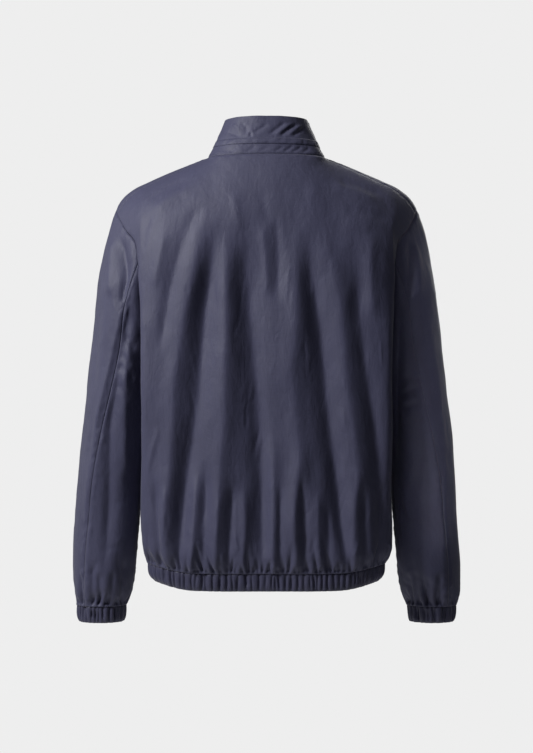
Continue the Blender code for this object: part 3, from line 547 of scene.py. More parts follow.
def nylon_finish(name, dark, light, roughness):
    """Satin-faced plain weave: threads of 0.3 mm, soft crinkles, and a slightly uneven dye."""
    made, tree, place = new_finish(name)
    weave = add_node(tree, "ShaderNodeUVMap", {}, uv_map="weave").outputs["UV"]
    dye = noise(tree, place, 16.0, 5.0, Roughness=0.6)
    slubs, threads = [], []
    yarn = {"Vector": weave, "Scale": 1050.0, "Distortion": 0.6, "Detail": 1.0, "Detail Scale": 0.4}
    for direction, run in (("X", (900.0, 36.0, 1.0)), ("Y", (36.0, 900.0, 1.0))):
        slubs.append(noise(tree, stretched(tree, weave, run), 1.0, 2.0))
        threads.append(add_node(tree, "ShaderNodeTexWave", yarn, bands_direction=direction).outputs["Fac"])
    uneven = worked_out(tree, "MULTIPLY_ADD", worked_out(tree, "ADD", *slubs), 1.2, dye)
    share = add_node(tree, "ShaderNodeMapRange", {"Value": uneven, "From Min": 1.3, "From Max": 2.1})
    upright = stretched(tree, place, (1.0, 1.0, 0.40))
    crumple = noise(tree, upright, 52.0, 3.0, Roughness=0.55, Distortion=0.3)
    creased = worked_out(tree, "ABSOLUTE", worked_out(tree, "SUBTRACT", crumple, 0.5))
    crinkle = noise(tree, place, 240.0, 3.0, Roughness=0.55, Distortion=0.6)
    broad = relief(tree, creased, 0.42, 0.0038)
    soft = relief(tree, crinkle, 0.30, 0.00025, Normal=broad)
    fine = relief(tree, worked_out(tree, "ADD", *threads), 0.22, 0.00006, Normal=soft)
    look = {
        "Base Color": colour_between(tree, share.outputs["Result"], dark, light),
        "Roughness": value_between(tree, dye, roughness + 0.05, roughness - 0.05),
        "Normal": fine,
        "Sheen Weight": 0.10,
        "Sheen Roughness": 0.45,
        "Specular IOR Level": 0.36,
    }
    dress(tree, look)
    return made


shell_nylon = nylon_finish("shell_nylon", (0.0365, 0.037, 0.0735), (0.0462, 0.0468, 0.0915), 0.60)

# Height in mm, then the path of each fold as x, z and half width in mm, seen from behind
back_folds = (
    (-3.0, ((81, -77, 10), (112, -108, 12), (128, -145, 13), (142, -192, 12), (153, -238, 11),
     (160, -285, 9), (168, -331, 8))),
    (1.6, ((157, -126, 9), (165, -168, 9), (176, -223, 8))),
    (5, ((84, -92, 14), (100, -145, 17), (111, -189, 18), (122, -238, 18), (132, -300, 18),
     (142, -362, 18), (146, -440, 17), (150, -510, 15), (154, -580, 13), (154, -642, 10),
     (154, -703, 9))),
    (-8, ((73, -105, 12), (81, -145, 15), (89, -207, 17), (97, -269, 18), (104, -362, 18),
     (109, -409, 18), (117, -463, 17), (125, -518, 15), (132, -580, 13), (136, -626, 11),
     (137, -703, 9))),
    (6.5, ((63, -117, 13), (63, -176, 17), (63, -269, 19), (64, -362, 20), (67, -440, 20), (72, -502, 17),
     (75, -564, 12), (78, -619, 8), (81, -697, 6))),
    (-3.4, ((95, -484, 6), (94, -533, 7), (97, -595, 7), (101, -695, 6))),
    (2.6, ((108, -502, 7), (112, -580, 7), (118, -691, 6))),
    (-3.2, ((52, -515, 7), (55, -580, 7), (58, -626, 6), (63, -700, 6))),
    (3, ((36, -518, 8), (33, -580, 8), (36, -642, 7), (39, -700, 7))),
    (-7, ((30, -108, 14), (32, -161, 18), (28, -238, 20), (21, -316, 20), (14, -393, 19), (10, -471, 17),
     (7, -549, 14), (7, -619, 13), (8, -703, 12))),
    (1.6, ((7, -117, 8), (2, -168, 8), (-1, -238, 7))),
    (-1.8, ((-14, -105, 7), (-17, -161, 8), (-18, -246, 7))),
    (5.5, ((-46, -117, 14), (-46, -192, 18), (-46, -269, 20), (-41, -347, 21), (-46, -425, 20),
     (-51, -487, 17), (-43, -564, 11), (-45, -642, 8), (-46, -703, 7))),
    (3, ((-9, -440, 10), (-10, -549, 9), (-9, -695, 8))),
    (-3, ((-23, -515, 6), (-21, -580, 6), (-23, -700, 6))),
    (-3.2, ((-52, -496, 7), (-57, -564, 7), (-60, -700, 6))),
    (2.4, ((-80, -527, 8), (-79, -595, 8), (-77, -695, 7))),
    (-7.5, ((-62, -117, 11), (-65, -153, 13), (-71, -215, 15), (-80, -269, 16), (-90, -350, 16),
     (-97, -425, 16), (-107, -502, 15), (-116, -580, 12), (-124, -636, 9), (-127, -703, 8))),
    (4, ((-80, -122, 12), (-96, -161, 16), (-111, -223, 18), (-118, -285, 18), (-122, -347, 18),
     (-133, -425, 17), (-141, -502, 15), (-135, -572, 11), (-139, -695, 9))),
    (-4.6, ((-128, -122, 14), (-139, -176, 16), (-145, -269, 15), (-155, -347, 14), (-167, -425, 13),
     (-175, -502, 12), (-178, -580, 10), (-178, -700, 8))),
    (-2.6, ((-147, -515, 6), (-152, -580, 6), (-153, -700, 6))),
    (-2, ((-94, -549, 6), (-96, -611, 6), (-97, -700, 5))),
    (2, ((-169, -130, 10), (-161, -179, 10), (-167, -269, 8))),
    (-3.2, ((174, -511, 5), (171, -556, 6), (168, -611, 6), (160, -695, 5))),
    (2.2, ((156, -524, 5), (157, -580, 6), (156, -630, 5))),
    (1.2, ((163, -432, 4), (179, -479, 4), (185, -515, 4))),
    (1.4, ((-99, -58, 7), (-133, -67, 7), (-177, -83, 6))),
    (-1.4, ((-111, -49, 6), (-149, -58, 6), (-186, -71, 5))),
    (-1.3, ((-122, -95, 7), (-158, -102, 7), (-192, -112, 6))),
    (1.4, ((109, -58, 8), (146, -77, 8), (181, -102, 7))),
    (-1.3, ((122, -46, 8), (157, -61, 8), (187, -83, 7))),
    (-1.2, ((181, -105, 6), (190, -133, 6), (191, -164, 6))),
    (-1, ((13, -64, 9), (7, -83, 9), (-6, -123, 7))),
    (1, ((53, -67, 9), (47, -95, 8), (41, -133, 7))),
)

# Height, size and longer run of the waves, then height, size, place and reach of the puckers at seams
body_waves = ((0.0009, 0.080, 3.4), (0.00016, 0.026, 2.2), (0.00005, 0.011, 1.3))
body_puckers = (0.00022, 0.013, 0.005, 0.0045)
body_tuck_depth = 1.35
clear_of_hem, clear_of_seams = 0.007, 0.030
# How many short creases, between which heights, and their lean and its spread
body_small_creases = ((64, (-660, -190), (0.0, 0.35)), (70, (-705, -560), (0.0, 0.22)))

panel_rows = steps_between((0.0, 0.06, 6), (0.06, 1.0, 32), (1.0, 1.40, 58), (1.40, 1.4555, 32))
half_places = steps_between((0.0, 0.75, 128), (0.75, 0.97, 50), (0.97, 1.0, 10))


def raised_at(x):
    """How far the hem rises at this distance to the side."""
    return side_rise * ease((np.abs(x) - side_rise_from_x) / side_rise_over_x)


def risen_at_sides(points):
    """Points near the hem, which the elastic draws up a little higher at the side seams."""
    low = ease((side_rise_from_z - points[..., 2]) / side_rise_over_z)
    rise = raised_at(points[..., 0]) * low
    return points + rise[..., None] * np.array([0.0, 0.0, 1.0])


def half_hem_length(face):
    """The length of the hem from the middle or the zip to the side seam."""
    points = body_row(face, np.linspace(0.0, 1.0, 200), panel_rows[-1])
    return np.linalg.norm(np.diff(points, axis=0), axis=1).sum()


front_hem, back_hem = half_hem_length(-1), half_hem_length(1)
hem_tucks = gather_tucks(2 * (front_hem + back_hem), spacing=0.0089, seed=11)


def draped_panel(points, face, folds, hem_start, seed):
    """A body panel with its folds, waves and tucks. hem_start is the hem's length up to its first column."""
    points = risen_at_sides(points)
    normals = cloth_normals(points, points * (0, 0, 1))
    edges = edge_distances(points)
    down, above, across, far = edges
    x, z = points[..., 0], points[..., 2]
    soft = seam_roll(above, clear_of_hem)
    for distance in (down, across, far):
        soft = soft * seam_roll(distance, clear_of_seams)
    middle, half = 1000 * x.mean(), 600 * np.ptp(x)
    creases = [*folds]
    for k, (count, heights, lean) in enumerate(body_small_creases):
        creases += small_creases(count, (middle - half, middle + half), heights, lean, seed + 4 + k)
    lift = crease_lift(x, z, creases) * facing(normals, face) * soft
    lift += soft * rippled(points, body_waves, seed)
    lift += seam_lift(points, edges, seam_hollow, body_puckers, seed + 3)
    direction = 1.0 if hem_start >= 0 else -1.0
    along = abs(hem_start) + direction * np.broadcast_to(across[-1:], across.shape)
    lift += body_tuck_depth * tuck_lift(along, above, hem_tucks)
    return points + normals * lift[..., None]


mirror = np.array([-1.0, 1.0, 1.0])
left_half = np.array([body_row(1, half_places, down) for down in panel_rows])
back_points = np.concatenate([left_half[:, ::-1], left_half[:, 1:] * mirror], axis=1)
back_points = eased_below_neck(back_points, np.concatenate([half_places[::-1], half_places[1:]]))
back_points = draped_panel(back_points, 1, back_folds, front_hem, seed=21)
back = cloth_object("back_cloth", back_points, back_points * (0, 0, 1), shell_nylon)
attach(back, "jacket")
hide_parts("back")


# ---- Fronts --------------------------------------------------------------------------------------
# Two plain panels of the same nylon, sewn to the back at the shoulders and sides. Their inner edges
# are turned in and stitched to the zip tapes.

left_front_folds = (
    (-6.0, ((112, -105, 13), (104, -220, 17), (92, -360, 18), (84, -500, 16), (76, -600, 12),
     (72, -700, 9))),
    (5.0, ((138, -120, 14), (132, -240, 17), (122, -380, 18), (114, -520, 15), (106, -640, 11),
     (104, -700, 9))),
    (3.5, ((76, -140, 14), (66, -260, 17), (56, -400, 17), (50, -540, 13), (46, -700, 9))),
    (-3.0, ((152, -230, 12), (148, -340, 13), (146, -460, 12), (140, -590, 10), (136, -700, 8))),
    (-2.6, ((40, -430, 9), (34, -540, 8), (30, -700, 6))),
    (1.8, ((20, -200, 8), (22, -330, 9), (18, -460, 8))),
    (-1.5, ((118, -58, 8), (150, -74, 8), (182, -98, 7))),
    (1.3, ((100, -66, 8), (134, -88, 8), (170, -120, 7))),
    (-2.4, ((60, -560, 6), (58, -620, 6), (62, -700, 5))),
    (-2.4, ((122, -540, 6), (126, -610, 6), (124, -700, 5))),
)
right_front_folds = (
    (-5.5, ((-100, -110, 13), (-92, -240, 17), (-78, -380, 18), (-70, -520, 15), (-66, -620, 11),
     (-64, -700, 8))),
    (5.0, ((-132, -130, 14), (-122, -250, 17), (-110, -390, 17), (-100, -520, 14), (-96, -700, 9))),
    (-3.4, ((-158, -220, 12), (-150, -350, 13), (-142, -480, 12), (-136, -600, 10), (-132, -700, 8))),
    (3.0, ((-60, -170, 13), (-52, -300, 15), (-42, -440, 14), (-38, -580, 10), (-36, -700, 8))),
    (-2.2, ((-24, -380, 8), (-22, -500, 8), (-26, -620, 6))),
    (-1.4, ((-112, -60, 8), (-146, -72, 8), (-180, -96, 7))),
    (1.3, ((-104, -76, 8), (-136, -92, 8), (-168, -122, 7))),
    (-2.2, ((-84, -580, 6), (-88, -640, 6), (-86, -700, 5))),
    (-2.2, ((-116, -560, 6), (-112, -630, 6), (-116, -700, 5))),
)
front_places = steps_between((0.0, 0.03, 5), (0.03, 0.75, 92), (0.75, 0.97, 38), (0.97, 1.0, 8))
left_front = np.array([body_row(-1, front_places, down) for down in panel_rows])
left_front = eased_below_neck(left_front, front_places)
for side, sign, folds in (("left", 1, left_front_folds), ("right", -1, right_front_folds)):
    points = left_front * (sign, 1, 1)
    hem_start = 0.0 if sign > 0 else -2 * (front_hem + back_hem)
    points = draped_panel(points, -1, folds, hem_start, seed=40 + sign)
    panel = cloth_object("front_cloth_" + side, points, points * (0, 0, 1), shell_nylon)
    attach(panel, "jacket")
    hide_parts("front_" + side)


# ---- Sleeves -------------------------------------------------------------------------------------
# Two pieces to a sleeve, an upper and an under sleeve, joined by a seam that shows down the back of
# the arm. The cloth bags a little at the elbow and is gathered on to the cuff.

# Each ring: centre x, y and z, half width, half depth, and how far its outer side is lifted
sleeve_rings = np.array(
    [
        (0.2042, 0.000, -0.1833, 0.0985, 0.0735, 68.0),
        (0.2130, 0.000, -0.2105, 0.0800, 0.0735, 58.0),
        (0.2188, 0.000, -0.2405, 0.0682, 0.0725, 47.0),
        (0.2243, 0.000, -0.3165, 0.0570, 0.0690, 18.0),
        (0.2315, 0.000, -0.3750, 0.0545, 0.0670, 4.0),
        (0.2420, -0.002, -0.4500, 0.0525, 0.0630, 0.0),
        (0.2508, -0.005, -0.5230, 0.0512, 0.0590, 0.0),
        (0.2547, -0.008, -0.5870, 0.0505, 0.0550, 0.0),
        (0.2601, -0.010, -0.6510, 0.0497, 0.0520, 0.0),
        (0.2617, -0.011, -0.6850, 0.0482, 0.0500, 0.0),
        (0.2632, -0.012, -0.7050, 0.0458, 0.0470, 0.0),
        (0.2646, -0.012, -0.7180, 0.0420, 0.0420, 0.0),
        (0.2653, -0.012, -0.7235, 0.0405, 0.0400, 0.0),
    ]
)
sleeve_seams = np.array(
    [
        (-0.1833, 88.0, 180.0),
        (-0.2405, 87.0, 180.0),
        (-0.3165, 83.0, 182.0),
        (-0.4500, 68.0, 184.0),
        (-0.5870, 58.0, 186.0),
        (-0.7235, 54.0, 186.0),
    ]
)
sleeve_waves = ((0.0008, 0.065, 2.6), (0.00018, 0.024, 1.6), (0.00005, 0.011, 1.2))
sleeve_puckers = (0.00050, 0.012, 0.0045, 0.004)
sleeve_hollow = 1.3 * seam_hollow
sleeve_tuck_depth = 1.6
back_crease_depth, front_crease_depth = 1.45, 1.2
armhole_fade_z = -0.262
armhole_spacing_fade = 0.20
yoke_steps = 6
low_armhole = (-0.225, -0.248, -0.267)
ring_at = curve_through(sleeve_rings[:, 2], sleeve_rings)
seam_at = curve_through(sleeve_seams[:, 0], sleeve_seams[:, 1:])


def ring_points(angles, z):
    x, y, centre_z, half_width, half_depth, tilt = ring_at(z)
    out = half_width * cosine(angles)
    ring = [x + out * cosine(tilt), y + half_depth * sine(angles), centre_z + out * sine(tilt)]
    return np.stack(ring, axis=-1)


def sleeve_row(z, loop_angles, turn):
    """A row of a sleeve piece. turn is added to the underarm seam, which ends it."""
    top = sleeve_rings[0, 2]
    begin, end = seam_at(z)
    end = end + turn
    share = (loop_angles - loop_angles[0]) / (loop_angles[-1] - loop_angles[0])
    share += ease((top - z) / armhole_spacing_fade) * (np.linspace(0.0, 1.0, len(share)) - share)
    angles = begin + (end - begin) * share
    stay = ease((z - armhole_fade_z) / (top - armhole_fade_z))
    return ring_points(angles, z) + stay * (armhole(loop_angles) - ring_points(loop_angles, top))


def between_corners(corners, count):
    """Finer armhole angles that pass smoothly through the corners."""
    return curve_through(np.arange(len(corners)), corners)(np.linspace(0, len(corners) - 1, count))


fractions = np.arange(1, yoke_steps + 1) / yoke_steps
low_angles = armhole_angle_at(np.array(low_armhole))
down_back = np.concatenate([shoulder_angle + (chest_angle - shoulder_angle) * fractions, low_angles])
down_front = np.concatenate([shoulder_angle + (-chest_angle - shoulder_angle) * fractions, -low_angles])
upper_corners = np.concatenate([down_back[:5][::-1], [shoulder_angle], down_front, [-180.0]])
under_corners = np.concatenate([down_back[4:], [180.0]])
sleeve_heights = steps_between((-0.1833, -0.2750, 30), (-0.2750, -0.6600, 84), (-0.6600, -0.7235, 36))

# Creases seen from behind on the left and the right sleeve, then those seen from the front
left_sleeve_folds = (
    (2.2, ((221, -224, 6), (232, -287, 6), (245, -340, 6), (256, -386, 6), (264, -422, 6), (270, -476, 6),
     (280, -552, 6), (284, -615, 6), (288, -686, 5))),
    (-3.4, ((210, -198, 7), (215, -244, 8), (224, -292, 8), (236, -340, 9), (243, -394, 10),
     (247, -441, 11), (247, -489, 11), (248, -552, 11), (253, -623, 10), (259, -694, 8))),
    (2.4, ((206, -265, 7), (215, -307, 8), (221, -355, 8), (223, -410, 9), (224, -473, 9), (223, -536, 9))),
    (-4.2, ((229, -129, 7), (224, -170, 8), (221, -213, 8), (228, -258, 7))),
    (2.4, ((243, -135, 7), (245, -176, 8), (247, -236, 8))),
    (2.2, ((218, -101, 6), (210, -145, 6), (209, -183, 6))),
    (-1.5, ((236, -284, 5), (220, -296, 5), (206, -318, 5))),
    (-1.4, ((243, -312, 5), (228, -322, 5), (213, -344, 5))),
    (-1.2, ((237, -340, 5), (220, -348, 5), (209, -366, 5))),
    (-1.2, ((247, -369, 5), (229, -375, 5), (215, -397, 5))),
    (-1.4, ((262, -236, 6), (269, -307, 7), (273, -394, 7))),
    (-1.8, ((275, -646, 5), (278, -730, 5))),
    (-1.8, ((264, -665, 5), (265, -734, 5))),
    (-1.6, ((243, -662, 5), (250, -734, 5))),
    (-1.6, ((224, -646, 5), (232, -734, 5))),
    (-1.4, ((294, -670, 4), (291, -733, 4))),
)
right_sleeve_folds = (
    (-2.8, ((-224, -135, 6), (-227, -170, 7), (-224, -213, 7), (-214, -244, 6))),
    (1.8, ((-236, -139, 7), (-239, -189, 8), (-238, -244, 8))),
    (-2.2, ((-209, -236, 8), (-208, -299, 8), (-205, -363, 8), (-205, -441, 9), (-203, -520, 9))),
    (1.4, ((-224, -268, 6), (-239, -331, 6), (-254, -394, 6), (-263, -457, 6), (-274, -520, 6),
     (-279, -599, 6), (-280, -694, 5))),
    (-1.8, ((-219, -307, 7), (-233, -370, 7), (-244, -426, 8), (-254, -481, 9), (-258, -552, 9),
     (-258, -646, 8))),
    (-1.7, ((-208, -369, 5), (-224, -358, 5), (-239, -353, 4))),
    (-1.7, ((-209, -391, 5), (-227, -380, 5), (-244, -375, 4))),
    (-1.5, ((-212, -411, 5), (-230, -402, 5), (-249, -399, 4))),
    (-1.4, ((-217, -434, 5), (-233, -426, 5), (-250, -424, 4))),
    (1.2, ((-211, -380, 5), (-227, -369, 5), (-242, -364, 4))),
    (1.2, ((-212, -402, 5), (-228, -391, 5), (-246, -388, 4))),
    (-2.0, ((-250, -457, 6), (-242, -492, 7), (-235, -536, 7))),
    (1.4, ((-249, -236, 6), (-261, -315, 6), (-276, -426, 6), (-285, -552, 6))),
    (-1.7, ((-235, -662, 5), (-239, -734, 5))),
    (-1.7, ((-255, -672, 5), (-258, -739, 5))),
    (-1.5, ((-274, -665, 5), (-276, -736, 5))),
    (-1.4, ((-224, -665, 4), (-228, -734, 4))),
)
sleeve_front_folds = (
    (-4.0, ((214, -150, 9), (222, -230, 11), (236, -330, 12), (250, -430, 11), (258, -520, 10))),
    (3.0, ((238, -160, 9), (248, -250, 11), (262, -360, 11), (272, -470, 10))),
    (-2.2, ((205, -300, 6), (224, -318, 6), (246, -318, 5))),
    (-2.0, ((207, -345, 6), (228, -358, 6), (252, -356, 5))),
    (-1.8, ((212, -396, 6), (234, -402, 6), (258, -396, 5))),
    (2.0, ((206, -322, 6), (226, -338, 6), (250, -336, 5))),
    (1.8, ((210, -370, 6), (232, -380, 6), (256, -376, 5))),
    (-2.2, ((232, -480, 8), (240, -560, 9), (246, -640, 7))),
    (2.0, ((274, -540, 8), (276, -620, 8), (274, -690, 6))),
    (-1.8, ((258, -640, 5), (256, -734, 5))),
    (-1.6, ((280, -650, 5), (274, -734, 5))),
    (-1.6, ((236, -655, 5), (242, -734, 5))),
)


def draped_sleeve(points, sign, behind, before, tucks, seed):
    """A sleeve piece with its folds, waves and tucks. The cuff seam is measured round from its back seam."""
    centres = ring_at(sleeve_heights)[:, None, :3] * (sign, 1, 1)
    normals = cloth_normals(points, centres)
    edges = edge_distances(points)
    down, above, across, far = edges
    x, z = points[..., 0], points[..., 2]
    soft = seam_roll(down, 0.020) * seam_roll(above, 0.006)
    sides = seam_roll(across, 0.008) * seam_roll(far, 0.008)
    fine = small_creases(26, (200, 300), (-690, -200), (0.0, 0.7), seed + 4)
    lift = back_crease_depth * crease_lift(x, z, behind) * facing(normals, 1)
    lift += front_crease_depth * crease_lift(x * sign, z, before) * facing(normals, -1)
    lift += crease_lift(x * sign, z, fine) * ease(np.abs(normals[..., 1]) / 0.4)
    lift *= soft * (0.25 + 0.75 * sides)
    lift += soft * sides * rippled(points, sleeve_waves, seed)
    lift += seam_lift(points, edges, sleeve_hollow, sleeve_puckers, seed + 3)
    lift += sleeve_tuck_depth * tuck_lift(np.broadcast_to(across[-1:], across.shape), above, tucks)
    return points + normals * lift[..., None], centres


for side, sign, behind in (("left", 1, left_sleeve_folds), ("right", -1, right_sleeve_folds)):
    for kind, corners, count, turn in (
        ("top", upper_corners, 124, -360.0),
        ("under", under_corners, 58, 0.0),
    ):
        loop_angles = between_corners(corners, count)
        points = np.array([sleeve_row(z, loop_angles, turn) for z in sleeve_heights]) * (sign, 1, 1)
        tucks = gather_tucks(length=0.26, spacing=0.0088, seed=60 + sign + count)
        points, centres = draped_sleeve(points, sign, behind, sleeve_front_folds, tucks, 80 + sign + count)
        piece = cloth_object(f"sleeve_{kind}_cloth_{side}", points, centres, shell_nylon)
        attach(piece, "jacket")
        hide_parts(f"sleeve_{kind}_{side}")


# ---- Collar --------------------------------------------------------------------------------------
# A stand of two layers of nylon folded over at the top edge, sewn into the neck seam. A narrow strip
# is stitched down across its back, and the cloth is drawn into short slanting creases.

collar_top_half_width = 0.0668
collar_top = {1: (0.0520, 0.0535), -1: (-0.0740, -0.0020)}
collar_side = (-0.004, 0.0492)
collar_top_bend = {1: 0.6, -1: 1.5}
collar_power = 0.9
collar_waist = 0.0060
collar_layers_apart = 0.0020
collar_edges_apart = 0.0005
collar_crease_depth = 1.4


def collar_points(face, turns, up):
    """The collar's outer face on the left: up is 0 on the neck seam and 1 at the top edge."""
    low = neck_points(face, turns)
    sines, cosines = quarter_turn(turns)
    x = collar_top_half_width * sines**collar_power
    y = collar_side[0] + (collar_top[face][0] - collar_side[0]) * cosines**collar_power
    z = collar_side[1] + (collar_top[face][1] - collar_side[1]) * cosines ** collar_top_bend[face]
    points = low + (np.stack([x, y, z], axis=-1) - low) * up
    outward = points * (1, 1, 0)
    outward /= np.linalg.norm(outward, axis=1, keepdims=True)
    return eased_to_zip(face, points - outward * collar_waist * up * (1 - up))


def collar_ring(up):
    """A row of the collar from the left front edge over the back to the right front edge."""
    turns = np.linspace(0.0, 1.0, 64)
    left = np.concatenate([collar_points(-1, turns, up), collar_points(1, turns[::-1], up)[1:]])
    return np.concatenate([left, left[::-1][1:] * mirror])


collar_creases = (
    (-0.9, ((-31, 45, 2.6), (-17, 34, 3), (-3, 23, 2.6))),
    (-1.0, ((-50, 43, 2.6), (-34, 32, 3), (-21, 21, 2.6))),
    (-0.8, ((-62, 39, 2.4), (-51, 29, 2.6), (-40, 21, 2.4))),
    (-0.7, ((-3, 42, 3), (11, 32, 3), (22, 26, 2.6))),
    (0.8, ((-40, 43, 2.6), (-26, 32, 3), (-14, 23, 2.6))),
    (0.7, ((-58, 42, 2.4), (-43, 31, 2.6), (-32, 21, 2.4))),
    (-0.6, ((41, 45, 3), (32, 34, 3), (35, 21, 3))),
    (0.6, ((54, 43, 3), (44, 32, 3), (46, 21, 3))),
    (-0.5, ((63, 32, 3), (52, 26, 3), (40, 25, 3))),
    (-1.5, ((24.3, 28, 1.1), (24.6, 24, 1.3), (25.2, 19, 1.1))),
    (-0.8, ((-28, 6, 2.2), (-18, -1, 2.4), (-10, -5, 2.2))),
    (-0.9, ((-42, 6, 2.2), (-32, -1, 2.4), (-26, -5, 2.2))),
    (-0.9, ((-56, 6, 2.2), (-47, -1, 2.4), (-39, -5, 2.2))),
    (-0.7, ((-68, 4, 2.2), (-61, -2, 2.4), (-54, -5, 2.2))),
    (-0.5, ((16, 6, 2.6), (26, -1, 2.6), (32, -5, 2.4))),
    (-0.5, ((44, 4, 2.6), (52, -1, 2.6), (58, -5, 2.4))),
    (-0.5, ((-3, 4, 2.4), (7, -2, 2.6), (13, -5, 2.4))),
)
collar_front_creases = (
    (-0.9, ((24, 10, 3), (34, -4, 3), (40, -20, 3))),
    (0.7, ((34, 14, 3), (44, 0, 3), (50, -16, 3))),
    (-0.8, ((-30, 6, 3), (-40, -8, 3), (-44, -24, 3))),
    (0.7, ((-18, -4, 3), (-26, -18, 3), (-30, -34, 3))),
    (-0.8, ((58, 26, 3), (64, 12, 3), (70, -2, 3))),
    (-0.7, ((-56, 30, 3), (-60, 14, 3), (-70, 2, 3))),
)
collar_ups = np.linspace(0.0, 1.0, 44)
outer = np.array([collar_ring(up) for up in collar_ups])
collar_normals = cloth_normals(outer, outer * (0, 0, 1))
up_from_seam, _, across, far = edge_distances(outer)
outer_x, outer_z = outer[..., 0], outer[..., 2]
to_back = collar_normals[..., 1] / 0.4
collar_lift = collar_crease_depth * crease_lift(outer_x, outer_z, collar_creases) * ease(to_back)
collar_lift += crease_lift(outer_x, outer_z, collar_front_creases) * ease(-to_back)
collar_lift += rippled(outer, ((0.00040, 0.034, 1.0), (0.00008, 0.011, 1.0)), 301)
collar_lift *= seam_roll(up_from_seam, 0.004) * seam_roll(across, 0.006) * seam_roll(far, 0.006)
collar_lift += seam_hollow * seam_roll(up_from_seam)
outer = outer + collar_normals * collar_lift[..., None]
opening = ease(np.minimum(across, far) / 0.006)
collar_gap = collar_edges_apart + (collar_layers_apart - collar_edges_apart) * opening
fold = [
    outer[-1]
    - collar_normals[-1] * (collar_gap[-1] / 2 * (1 - math.cos(turn)))[:, None]
    + np.array([0, 0, 1]) * (collar_gap[-1] / 2 * math.sin(turn))[:, None]
    for turn in np.linspace(0.3, math.pi - 0.3, 6)
]
inner = (outer - collar_normals * collar_gap[..., None])[::-2]
collar_grid = np.concatenate([outer, fold, inner])
half_gap = collar_normals * collar_layers_apart / 2
between = outer - half_gap
collar_inside = np.concatenate([between, [between[-1]] * len(fold), inner + half_gap[::-2]])
collar = cloth_object("collar_cloth", collar_grid, collar_inside, shell_nylon, wall=folded_wall)
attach(collar, "jacket")
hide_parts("collar")

welt_low, welt_high = 0.262, 0.428
welt_edge, welt_rise = 0.0003, 0.0007
welt_front_y = -0.020
welt_wave_height = 0.00028
welt_shares = np.linspace(0.0, 1.0, 14)
columns = np.flatnonzero(outer[0, :, 1] > welt_front_y)
welt_rows = []
for share in welt_shares:
    up = welt_low + (welt_high - welt_low) * share
    at = up * (len(collar_ups) - 1)
    low_row = int(at)
    row = outer[low_row] + (outer[low_row + 1] - outer[low_row]) * (at - low_row)
    rise = welt_edge + welt_rise * (1 - abs(2 * share - 1) ** 3)
    welt_rows.append((row + collar_normals[low_row] * rise)[columns])
welt_grid = np.array(welt_rows)
welt_normals = cloth_normals(welt_grid, welt_grid * (0, 0, 1))
welt_wave = welt_wave_height * waves(welt_grid, 0.012, (1.0, 1.0, 1.6), 311)
welt_wave = welt_wave * np.sin(math.pi * welt_shares)[:, None]
welt_grid = welt_grid + welt_normals * welt_wave[..., None]
welt = cloth_object("collar_welt_cloth", welt_grid, welt_grid * (0, 0, 1), shell_nylon, wall=folded_wall)
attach(welt, "jacket")
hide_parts("collar_welt")


# ---- Hem band ------------------------------------------------------------------------------------
# A strip of nylon folded lengthwise round wide elastic, which gathers it into upright ridges. One
# seam joins it to the body and one row of stitches runs just above its lower edge.

band_height = 0.026
band_depth = 0.0024
band_half_width = 0.188
band_drawn_in, side_drawn_in = 0.0025, 0.0065
gather_step = 0.00105
groove_reach = 0.012
groove_sharpness = 1.15
turn_over = 0.004
gather_swell = 0.0006
gather_set_in = 0.0004
# The body's nylon with a darker colour, which is painted shade on the band and cuffs, and a smoother face
band_nylon_painted_shade = nylon_finish("band_nylon_painted_shade", (0.032, 0.032, 0.063), (0.043, 0.043, 0.083), 0.50)


